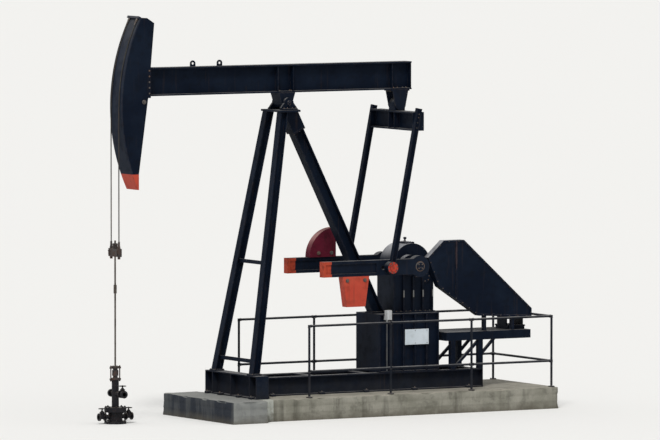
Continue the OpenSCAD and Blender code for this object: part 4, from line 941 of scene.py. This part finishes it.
def addReducer(cfg):
    (x0, _, z0), (x1, _, _) = boxes["reducer_housing"]
    lidTop = boxes["reducer_cover"][1][2]
    splitTop, splitUnder, footTop = crankZ + cfg["flange"], crankZ - cfg["flange"], z0 + cfg["flange"]
    ribs = [x0 + cfg["firstRib"] + cfg["ribsLong"] * i / cfg["bays"] for i in range(cfg["bays"] + 1)]
    bolts = []
    for side in sides:
        y = side * (cfg["half"] - cfg["boltIn"])
        for a, b in zip(ribs, ribs[1:]):
            for dx in (-cfg["boltHalf"], cfg["boltHalf"]):
                x = (a + b) / 2 + cfg["ribHalf"] + dx
                bolts.append(((x, y, footTop), up))
                if abs(x - shaftX) > cfg["bearing"]:
                    bolts += [((x, y, splitTop), up), ((x, y, splitUnder), down)]
    for y in cfg["endBolts"]:
        bolts += [((x0 + cfg["boltIn"], y, footTop), up), ((x0 + cfg["boltIn"], y, splitTop), up),
                  ((x1 - cfg["boltIn"], y, splitTop), up)]
    addBolts("reducerBolts", "frame", cfg["bolt"], bolts)
    addBolts("lidBolts", "frame", cfg["lidBolt"],
             [((cfg["lidX"] + d * cfg["lidHalf"], y, lidTop), up) for d in sides for y in cfg["lidBolts"]])
    # Pale plates on the ribs: painted highlights where the ribs catch the light
    addPlates("ribHighlightPlates", "frame", cfg["plate"],
              [((x + cfg["ribHalf"], -cfg["half"], cfg["plateZ"]), (0, -1, 0)) for x in ribs[1:]],
              0.002, "pale_enamel", "rib_highlight_paint")
    addTurned("breather", "frame", cfg["breather"], [((cfg["lidX"], 0, lidTop - 0.001), up)], 28)
    stepX, stepZ = cfg["capStep"]
    caps = [p for i in (1, 2) for p in mirrored(shaftX + i * stepX, cfg["capY"], crankZ - cfg["capDown"] - i * stepZ)]
    addBolts("capBolts", "frame", cfg["capBolt"], rings(caps, cfg["capRing"], 6, 0.3))


# Cranks: plates on the shaft's ends, bolts that clamp the weights, nuts of the crank pins

cranks = {
    "endPlate": [(0, 0), (0.088, 0), (0.088, 0.010), (0.080, 0.018), (0.030, 0.018), (0.024, 0.010), (0, 0.010)],
    "endRing": 0.058, "endBoltOut": 0.017, "endBolt": 0.012,
    "weightIn": 0.11, "farIn": 0.22, "weightDown": 0.085, "weightBolt": 0.033,
    "pinWasher": [(0, 0), (0.070, 0), (0.070, 0.014), (0.062, 0.022), (0.046, 0.022), (0.040, 0.030), (0, 0.030)],
    "pinWasherY": 0.69, "pinNutY": 0.67, "pinNut": 0.042,
}


def addCranks(cfg):
    shaftY = boxes["crankshaft"][1][1]
    addTurned("shaftEndPlates", "cranks", cfg["endPlate"], mirrored(shaftX, shaftY, crankZ), 40)
    addBolts("shaftEndBolts", "cranks", cfg["endBolt"],
             rings(mirrored(shaftX, shaftY + cfg["endBoltOut"], crankZ), cfg["endRing"], 4, 0.78))
    near, far = boxes["counterweight_near"], boxes["counterweight_far"]
    bolts, inset = [], cfg["weightIn"]
    for (low, high), places, z in (
            (near, (near[0][0] + inset, near[1][0] - inset), near[1][2] - cfg["weightDown"]),
            (far, (far[1][0] - inset, far[0][0] + cfg["farIn"]), far[0][2] + cfg["weightDown"])):
        bolts += [((x, y, z), (0, way, 0)) for x in places for y, way in ((low[1], -1), (high[1], 1))]
    addBolts("weightBolts", "cranks", cfg["weightBolt"], bolts)
    nuts = bmesh.new()
    for side in sides:
        inward = (0, -side, 0)
        turned(nuts, cfg["pinWasher"], facing((pinX, side * cfg["pinWasherY"], crankZ), inward), 36)
        place = facing((pinX, side * cfg["pinNutY"], crankZ), inward, 0.4)
        stamp(nuts, nutMesh, place @ Matrix.Scale(cfg["pinNut"], 4))
    finishPiece("crankPinNuts", nuts, "cranks", "rusty_steel", "fastener")


# Pitmans: cover bolts and grease nipples of the wrist bearings, bolts at the equalizer

pitmans = {
    "wristY": 1.006, "wristRing": 0.105, "wristBolt": 0.0115,
    "nipple": [(0, 0), (0.010, 0), (0.010, 0.010), (0.006, 0.013), (0.006, 0.020), (0, 0.024)],
    "nippleOut": 0.02, "equalNipple": (0.06, 0.129),
    "lean": (0.68, 3.45), "pitmanY": 0.957, "boltZ": (6.13, 6.24, 6.35, 6.42), "boltHalf": 0.028, "bolt": 0.011,
}


def addPitmans(cfg):
    addBolts("wristBolts", "pitmans", cfg["wristBolt"],
             rings(mirrored(pinX, cfg["wristY"], crankZ), cfg["wristRing"], 8, 0.2))
    nippleY, nippleZ = cfg["equalNipple"]
    nipples = mirrored(pinX, cfg["wristY"] + cfg["nippleOut"], crankZ)
    nipples += [((equalX, side * nippleY, equalZ + nippleZ), up) for side in sides]
    addTurned("greaseNipples", "pitmans", cfg["nipple"], nipples, 20, "rusty_steel", "fastener")
    lean = math.atan2(*cfg["lean"])
    along = Vector((math.sin(lean), 0, math.cos(lean)))
    out = Vector((math.cos(lean), 0, -math.sin(lean)))
    bolts = []
    for side in sides:
        for z in cfg["boltZ"]:
            middle = Vector((pinX, side * cfg["pitmanY"], crankZ)) + along * ((z - crankZ) / math.cos(lean))
            bolts += [(middle + out * dx, (0, side, 0)) for dx in (-cfg["boltHalf"], cfg["boltHalf"])]
    addBolts("pitmanBolts", "pitmans", cfg["bolt"], bolts)


# Beam: nuts of the saddle and brackets, bolts of the head, and the pins that hold it

beam = {
    "flange": 0.032, "saddleX": (-0.14, 0.14), "saddleY": (-0.105, -0.045, 0.045, 0.105),
    "bracketX": (-0.15, -0.05, 0.08, 0.16), "bracketY": (-0.105, 0.105), "nut": 0.0175,
    "footX": (-0.2, 0.2), "footY": (-0.06, 0.06), "footDown": 0.03, "footBolt": 0.0165,
    "headY": 0.25, "headX": -3.385, "headZ": (6.98, 7.10, 7.22, 7.34, 7.46), "headBolt": 0.0145,
    "pin": [(0, 0), (0.048, 0), (0.048, 0.016), (0.042, 0.022), (0.030, 0.022), (0.030, 0.044), (0.025, 0.049),
            (0, 0.049)],
    "pinX": -3.515, "pinZ": 6.800,
}


def addBeamFittings(cfg):
    low = boxes["walking_beam"][0][2]
    nutZ, footZ = low + cfg["flange"], low - cfg["footDown"]
    nuts = [((x, y, nutZ), up) for x in cfg["saddleX"] for y in cfg["saddleY"]]
    nuts += [((equalX + x, y, nutZ), up) for x in cfg["bracketX"] for y in cfg["bracketY"]]
    addBolts("beamNuts", "beam", cfg["nut"], nuts, nutMesh)
    addBolts("bracketBolts", "beam", cfg["footBolt"],
             [((equalX + x, y, footZ), down) for x in cfg["footX"] for y in cfg["footY"]])
    addBolts("headBolts", "beam", cfg["headBolt"],
             [((cfg["headX"], side * cfg["headY"], z), (0, side, 0)) for side in sides for z in cfg["headZ"]])
    addTurned("headPins", "beam", cfg["pin"], mirrored(cfg["pinX"], cfg["headY"], cfg["pinZ"]), 30,
              "rusty_steel", "fastener")


addReducer(reducer)
addCranks(cranks)
addPitmans(pitmans)
addBeamFittings(beam)
print("reducer, cranks, pitmans and beam")


# Belt guard: screws round its rim, and the legs under it

beltGuard = {
    "outline": [(3.290, 3.305), (3.680, 3.660), (4.190, 3.660), (5.890, 2.130), (5.890, 1.940), (4.560, 2.010),
                (3.560, 2.670)],
    "inset": 0.020, "apart": 0.21, "screw": 0.0085,
    "legX": (4.72, 5.42), "legNear": 0.09, "legFar": 0.012, "deck": 1.670,
    "angle": [(0, 0), (0.05, 0), (0.05, 0.006), (0.006, 0.006), (0.006, 0.05), (0, 0.05)],
    "under": (4.56, 2.010, 0.07 / 1.33),    # where the lower edge starts, and its fall
    "foot": (0.1, 0.07, 0.008), "footX": 0.02, "footY": 0.025, "boltX": 0.055, "bolt": 0.0095,
}


def insetLoop(points, distance):
    # The clockwise outline moved inwards, with its corners where the moved edges meet
    made = []
    for a, b, c in zip(points[-1:] + points, points, points[1:] + points[:1]):
        a, b, c = Vector(a), Vector(b), Vector(c)
        before, after = (a - b).orthogonal().normalized(), (b - c).orthogonal().normalized()
        inward = (before + after).normalized()
        made.append(b + inward * distance / max(0.3, inward.dot(before)))
    return made


def addGuardFittings(cfg):
    face, back = boxes["belt_guard"][0][1], boxes["belt_guard"][1][1]
    rim, screws = insetLoop(cfg["outline"], cfg["inset"]), []
    for a, b in zip(rim, rim[1:] + rim[:1]):
        count = max(1, round((b - a).length / cfg["apart"]))
        for i in range(count):
            point = a.lerp(b, (i + 0.5) / count)
            screws.append(((point.x, face, point.y), (0, -1, 0)))
    addBolts("guardScrews", "frame", cfg["screw"], screws)
    legs, bolts, deck = bmesh.new(), [], cfg["deck"]
    startX, startZ, fall = cfg["under"]
    length, width, thick = cfg["foot"]
    for x in cfg["legX"]:
        for y in (face + cfg["legNear"], back - cfg["legFar"]):
            height = startZ - (x - startX) * fall - deck + 0.02
            slab(legs, cfg["angle"], height, Matrix.Translation((x, y - 0.05, deck)), 0.0015, 1)
            place = Matrix.Translation((x + cfg["footX"], y - cfg["footY"], deck))
            slab(legs, rectangle(length, width), thick, place, 0.002, 1)
            bolts.append(((x + cfg["boltX"], y - cfg["footY"], deck + thick), up))
    finishPiece("guardLegs", legs, "frame", "black_paint")
    addBolts("guardLegBolts", "frame", cfg["bolt"], bolts)


# Motor: lifting eye, fan cowl with its grille, end and foot bolts, terminal lid

motor = {
    "axis": (5.640, 2.100), "shellIn": 0.04,
    "eyeY": 0.13, "eyeZ": 0.255, "eyeRadius": 0.042, "eyeWire": 0.011, "footZ": 0.193,
    "eyeFoot": [(0, 0), (0.026, 0), (0.024, 0.010), (0.013, 0.018), (0.013, 0.030), (0, 0.030)],
    "cowl": [(0.046, 0), (0.196, 0), (0.209, -0.006), (0.215, -0.018), (0.215, -0.085), (0.210, -0.085),
             (0.210, -0.020), (0.194, -0.008), (0.046, -0.008), (0.046, 0)],
    "grille": (0.075, 0.105, 0.135, 0.165), "grilleIn": 0.004, "grilleWire": 0.004,
    "boltRing": 0.165, "footX": 0.18, "footY": 0.05, "footTop": 1.76, "bolt": 0.0115,
    "lid": 0.178, "lidThick": 0.012,
}


def addMotorFittings(cfg):
    x, z = cfg["axis"]
    y0, y1 = boxes["motor"][0][1] + cfg["shellIn"], boxes["motor"][1][1]
    top, middleY = boxes["motor"][1][2], (y0 + y1) / 2
    axis = Vector((x, 0, z))
    eye, cowl, lid = bmesh.new(), bmesh.new(), bmesh.new()
    eyeAt = axis + Vector((0, middleY - cfg["eyeY"], cfg["eyeZ"]))
    tube(eye, hoop(eyeAt, cfg["eyeRadius"], 28), cfg["eyeWire"], 10)
    footAt = axis + Vector((0, middleY - cfg["eyeY"], cfg["footZ"]))
    turned(eye, cfg["eyeFoot"], facing(footAt, up), 20)
    finishPiece("liftingEye", eye, "frame", "black_casting", smooth=50)
    turned(cowl, cfg["cowl"], facing(axis + Vector((0, y1, 0)), (0, 1, 0)), 48)
    for r in cfg["grille"]:
        tube(cowl, hoop(axis + Vector((0, y1 - cfg["grilleIn"], 0)), r, 40), cfg["grilleWire"], 6)
    finishPiece("fanCowl", cowl, "frame", "black_casting", smooth=50)
    bolts = ring(axis + Vector((0, y0, 0)), (0, -1, 0), cfg["boltRing"], 6, 0.5)
    bolts += [((x + d * cfg["footX"], y, cfg["footTop"]), up)
              for d in sides for y in (y0 + cfg["footY"], y1 - cfg["footY"])]
    addBolts("motorBolts", "frame", cfg["bolt"], bolts)
    place = Matrix.Translation((x, middleY, top - cfg["lidThick"]))
    slab(lid, rectangle(cfg["lid"], cfg["lid"]), cfg["lidThick"], place, 0.004)
    finishPiece("terminalLid", lid, "frame", "black_paint")


addGuardFittings(beltGuard)
addMotorFittings(motor)
print("belt guard and motor")


# Guard rails: sockets where the pipes meet, collars and nuts at the posts' feet

guardRails = {
    "near": [-0.05 + 6.02 * i / 3 for i in range(4)], "far": [-0.39, 1.47, 3.72, 5.97],
    "y": 1.22, "pipes": (0.56, 1.525),
    "postSocket": [(0.020, -0.034), (0.031, -0.034), (0.033, -0.030), (0.033, -0.024), (0.029, -0.020)],
    "postTop": [(0.029, 0.010), (0.031, 0.006), (0.031, 0.001), (0.020, 0)],      # radius and depth below the top
    "railSocket": [(0.020, 0.022), (0.029, 0.022), (0.029, 0.040), (0.033, 0.044), (0.033, 0.052), (0.030, 0.056),
                   (0.020, 0.056)],
    "collar": [(0.024, 0), (0.037, 0), (0.034, 0.006), (0.028, 0.010), (0.024, 0.012)],
    "foot": 0.014, "nutRing": 0.052, "nut": 0.0085,
}


def addRailFittings(cfg):
    fittings, nuts = bmesh.new(), []
    railTop, footZ = boxes["guard_rail_near"][1][2], slabTop + cfg["foot"]
    for side, posts in zip(sides, (cfg["near"], cfg["far"])):
        y = side * cfg["y"]
        for x in posts:
            ways = [(d, 0, 0) for d in sides if posts[0] - 0.01 < x + d * 0.5 < posts[-1] + 0.01]
            if x > 5.9:
                ways.append((0, -side, 0))
            for z in (slabTop + height for height in cfg["pipes"]):
                top = min(0.030, railTop - z)
                profile = cfg["postSocket"] + [(r, top - depth) for r, depth in cfg["postTop"]]
                turned(fittings, profile, Matrix.Translation((x, y, z)), 22)
                for way in ways:
                    turned(fittings, cfg["railSocket"], facing((x, y, z), way), 22)
            nuts += ring((x, y, footZ), up, cfg["nutRing"], 4, math.pi / 4)
            turned(fittings, cfg["collar"], Matrix.Translation((x, y, footZ)), 22)
    finishPiece("railFittings", fittings, "frame", "black_paint", "rail_paint", smooth=40)
    addBolts("railFootNuts", "frame", cfg["nut"], nuts, nutMesh)


# Bare plate on the pedestal's near side, with the screws that hold it on the stiffeners

barePlate = {"x": (2.730, 3.320), "z": (1.446, 1.778), "thick": 0.004,
             "screwX": (2.9855, 3.2765), "screwZ": (1.478, 1.746), "screw": 0.0075}


def addBarePlate(cfg):
    (x0, x1), (z0, z1), y = cfg["x"], cfg["z"], boxes["reducer_pedestal"][0][1]
    addPlates("barePlate", "frame", (x1 - x0, z1 - z0, cfg["thick"]),
              [(((x0 + x1) / 2, y, (z0 + z1) / 2), (0, -1, 0))], 0.0015, "pale_enamel", "bare_plate", 1)
    addBolts("plateScrews", "frame", cfg["screw"],
             [((x, y - cfg["thick"], z), (0, -1, 0)) for x in cfg["screwX"] for z in cfg["screwZ"]])


# Switch box: door, hinges and latch

switchBox = {
    "box": 0.210, "edge": 0.012, "door": 0.198, "thick": 0.006, "hingeX": 0.004, "hingeZ": 0.045, "latchX": 0.022,
    "hinge": [(0, -0.014), (0.0055, -0.014), (0.0055, 0.014), (0, 0.014)],
    "latch": [(0, 0), (0.011, 0), (0.011, 0.006), (0.008, 0.012), (0, 0.013)],
}


def addSwitchDoor(cfg):
    (x0, y, _), (x1, _, top) = boxes["switch_box"]
    low, front = top - cfg["box"], y - cfg["thick"]
    door, middleZ = bmesh.new(), (low + top) / 2
    slab(door, rectangle(x1 - x0 - cfg["edge"], cfg["door"]), cfg["thick"],
         facing(((x0 + x1) / 2, y, middleZ), (0, -1, 0)), 0.002)
    for z in (low + cfg["hingeZ"], top - cfg["hingeZ"]):
        turned(door, cfg["hinge"], Matrix.Translation((x0 + cfg["hingeX"], front, z)), 14)
    turned(door, cfg["latch"], facing((x1 - cfg["latchX"], front, middleZ), (0, -1, 0)), 20)
    finishPiece("switchDoor", door, "frame", "pale_enamel", "switch_paint")


addRailFittings(guardRails)
addBarePlate(barePlate)
addSwitchDoor(switchBox)
print("rails, plate and switch box")


# Well head: flange nuts, valves' bolts, plugs and bonnets, gland nuts

wellHead = {
    "flanges": ((0.348, up), (0.252, down), (0.048, up)), "flangeRing": 0.203, "flangeNut": 0.021,
    "valveOut": 0.400, "lowValveZ": 0.150, "teeValveZ": 0.640,
    "boltOut": 0.026, "boltIn": 0.138, "valveRing": 0.066, "teeY": 0.200, "teeRing": 0.064, "valveBolt": 0.0095,
    "plug": [(0, -0.012), (0.040, -0.012), (0.040, 0), (0, 0)],
    "bonnetIn": 0.082, "stemZ": 0.172, "stemNut": 0.016,
    "bonnet": [(0.014, 0.085), (0.052, 0.085), (0.056, 0.092), (0.056, 0.104), (0.034, 0.110), (0.030, 0.132),
               (0.018, 0.140), (0.014, 0.140)],
    "glandZ": 1.2199, "glandRing": 0.058, "glandNut": 0.010,
}


def addWellHead(cfg):
    nuts = [p for z, way in cfg["flanges"] for p in ring((wellX, 0, z), way, cfg["flangeRing"], 8, 0.39)]
    addBolts("flangeNuts", "frame", cfg["flangeNut"], nuts, nutMesh, "well_casting")
    # Each valve: the way it points, and its height
    valves = (((-1, 0, 0), cfg["lowValveZ"]), ((1, 0, 0), cfg["lowValveZ"]), ((0, -1, 0), cfg["teeValveZ"]))
    bolts = []
    for (dx, dy, _), z in valves:
        for inset, way in ((cfg["boltOut"], -1), (cfg["boltIn"], 1)):
            out = cfg["valveOut"] - inset
            bolts += ring((wellX + dx * out, dy * out, z), (way * dx, way * dy, 0), cfg["valveRing"], 6, 0.52)
    bolts += ring((wellX, cfg["teeY"], cfg["teeValveZ"]), (0, 1, 0), cfg["teeRing"], 6, 0.52)
    addBolts("valveBolts", "frame", cfg["valveBolt"], bolts, finish="well_casting")
    bonnets = bmesh.new()
    order = (valves[1], valves[0], valves[2])
    for way, z in order:
        end = (wellX + way[0] * cfg["valveOut"], way[1] * cfg["valveOut"], z)
        turned(bonnets, cfg["plug"], facing(end, way), 28)
    for way, z in order:
        out = cfg["valveOut"] - cfg["bonnetIn"]
        base = Vector((wellX + way[0] * out, way[1] * out, z))
        turned(bonnets, cfg["bonnet"], Matrix.Translation(base), 24)
        stem = base + Vector((0, 0, cfg["stemZ"]))
        stamp(bonnets, nutMesh, facing(stem, up, 0.3) @ Matrix.Scale(cfg["stemNut"], 4))
    finishPiece("valveBonnets", bonnets, "frame", "rusty_steel", "well_casting")
    addBolts("glandNuts", "frame", cfg["glandNut"], ring((wellX, 0, cfg["glandZ"]), up, cfg["glandRing"], 4, 0.4))


# Swing bolts that draw the stuffing box together

swingBolts = {
    "ears": ((0.925, 0.960, 0.060), (1.165, 1.200, 0.050)),     # low, high, and where each ear starts
    "earEnd": 0.130, "earWidth": 0.044, "x": 0.107,
    "rod": [(0, 0.895), (0.013, 0.895), (0.013, 1.230), (0.010, 1.234), (0, 1.234)],
    "nuts": ((1.200, up), (0.925, down)), "nut": 0.019,
}


def addSwingBolts(cfg):
    bm, end = bmesh.new(), cfg["earEnd"]
    for side in sides:
        for low, high, start in cfg["ears"]:
            slab(bm, rectangle(end - start, cfg["earWidth"], side * (end + start) / 2), high - low,
                 Matrix.Translation((wellX, 0, low)), 0.006)
        x = wellX + side * cfg["x"]
        turned(bm, cfg["rod"], Matrix.Translation((x, 0, 0)), 20)
        for z, way in cfg["nuts"]:
            stamp(bm, nutMesh, facing((x, 0, z), way, 0.3) @ Matrix.Scale(cfg["nut"], 4))
    finishPiece("swingBolts", bm, "frame", "rusty_steel")


# Carrier bar: sockets and keepers of the ropes, lugs and bolts of the rod clamp

carrier = {
    "socket": [(0.0135, 0.150), (0.020, 0.150), (0.022, 0.140), (0.024, 0.060), (0.034, 0.020), (0.034, 0.004),
               (0.030, 0), (0.0135, 0)],
    "under": [(0, -0.052), (0.024, -0.052), (0.030, -0.044), (0.030, -0.006), (0.036, 0), (0, 0)],
    "keeper": (0.05, 0.11, 0.012), "keeperX": 0.05, "keeperZ": 0.085,
    "keeperBolts": ((-0.016, -0.035), (0.016, 0.035)), "keeperBolt": 0.009,
    "lug": (0.030, 0.088, 0.034), "lugY": 0.048, "clampZ": 0.055,
    "clampBolts": (0.015, 0.067, 0.027), "clampBolt": 0.0105,
}
carrierLow, carrierTop = boxes["carrier_bar"][0][2], boxes["carrier_bar"][1][2]


def addCarrier(cfg):
    sockets, keeperX = bmesh.new(), wellX - cfg["keeperX"]
    keeperZ, clampZ = carrierLow + cfg["keeperZ"], carrierTop + cfg["clampZ"]
    for side in sides:
        turned(sockets, cfg["socket"], Matrix.Translation((wellX, side * ropeY, carrierTop)), 28)
        turned(sockets, cfg["under"], Matrix.Translation((wellX, side * ropeY, carrierLow)), 28)
    finishPiece("ropeSockets", sockets, "rod", "rusty_steel")
    addPlates("ropeKeepers", "rod", cfg["keeper"], [((keeperX, side * ropeY, keeperZ), (-1, 0, 0)) for side in sides],
              0.003, "rusty_steel")
    addBolts("keeperPlateBolts", "rod", cfg["keeperBolt"],
             [((keeperX - cfg["keeper"][2], side * ropeY + dy, keeperZ + dz), (-1, 0, 0))
              for side in sides for dy, dz in cfg["keeperBolts"]])
    addPlates("clampLugs", "rod", cfg["lug"], mirrored(wellX, cfg["lugY"], clampZ), 0.004, "rusty_steel")
    outX, outY, outZ = cfg["clampBolts"]
    addBolts("clampBolts", "rod", cfg["clampBolt"],
             [((wellX + dx * outX, side * outY, clampZ + dz * outZ), (dx, 0, 0))
              for side in sides for dz in sides for dx in sides], nutMesh)


addWellHead(wellHead)
addSwingBolts(swingBolts)
addCarrier(carrier)
finishPiece("frameWelds", welds, "frame", "black_paint", smooth=60)
print("well head and carrier")


# Wire ropes: six strands laid round each path

ropes = {
    "radius": 0.013, "strands": 6, "strand": 0.36, "core": 0.5,     # the last two as shares of the radius
    "lay": 0.16,                    # metres for one full turn of a strand
    "sides": 6, "steps": 13,        # sides of a strand, and points in one lay
    "headRadius": 4.060, "headTop": 27.5, "anchorDown": 0.0249, "faceGap": 0.0003,
    "hangGap": 0.0029, "barGap": 0.001, "arcPoints": 60,
    "end": [(0, -0.075), (0.015, -0.075), (0.0165, -0.070), (0.019, 0.010), (0.0235, 0.030), (0.0235, 0.066),
            (0.020, 0.074), (0, 0.075)],
    "endHalf": 0.075, "endOut": 0.0243,
}


def addRope(name, body, node, paths, cfg):
    bm = bmesh.new()
    strand = cfg["radius"] * cfg["strand"]
    reach = cfg["radius"] - strand
    for path in paths:
        path = [Vector(p) for p in path]
        lengths = [0.0]
        for a, b in zip(path, path[1:]):
            lengths.append(lengths[-1] + (b - a).length)
        total = lengths[-1]
        count = max(8, round(total / cfg["lay"] * cfg["steps"]))
        stations, j = [], 0
        for i in range(count + 1):
            s = total * i / count
            while j < len(path) - 2 and lengths[j + 1] < s:
                j += 1
            p = path[j].lerp(path[j + 1], (s - lengths[j]) / (lengths[j + 1] - lengths[j]))
            ahead = (path[j + 1] - path[j]).normalized()
            side = Vector((0, 1, 0))
            side = (side - ahead * side.dot(ahead)).normalized()
            stations.append((p, side, ahead.cross(side), math.tau * s / cfg["lay"]))
        for k in range(cfg["strands"]):
            first = math.tau * k / cfg["strands"]
            tube(bm, [p + (side * math.cos(first + a) + across * math.sin(first + a)) * reach
                      for p, side, across, a in stations], strand, cfg["sides"])
        tube(bm, [s[0] for s in stations[::4]] + [stations[-1][0]], cfg["radius"] * cfg["core"], 6)
    piece = finishPiece(name, bm, body, "wire_rope", smooth=70)
    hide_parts(node)


def addRopes(cfg):
    low, high = carrierTop + cfg["barGap"], bearingZ - cfg["hangGap"]
    hanging = [[(wellX, side * ropeY, low), (wellX, side * ropeY, high)] for side in sides]
    addRope("hangingRopes", "rod", "bridle_cables", hanging, cfg)
    # The wrapped part lies on the head's face and ends in a socket
    head, faceR = cfg["headRadius"], cfg["headRadius"] + cfg["radius"] + cfg["faceGap"]
    wrapUp = math.radians(cfg["headTop"]) - math.asin(cfg["anchorDown"] / head)
    wrapped = [[(-faceR * math.cos(a), side * ropeY, bearingZ + faceR * math.sin(a))
                for a in (wrapUp * i / cfg["arcPoints"] for i in range(cfg["arcPoints"] + 1))] for side in sides]
    addRope("wrappedRopes", "beam", "bridle_wrap", wrapped, cfg)
    a, r = wrapUp - math.asin(cfg["endHalf"] / head), head + cfg["endOut"]
    addTurned("ropeEnds", "beam", cfg["end"],
              [((-r * math.cos(a), side * ropeY, bearingZ + r * math.sin(a)), (math.sin(a), 0, math.cos(a)))
               for side in sides], 28, "rusty_steel", "fastener")


addRopes(ropes)
for mesh in (boltMesh, nutMesh):
    bpy.data.meshes.remove(mesh)
print("wire ropes")
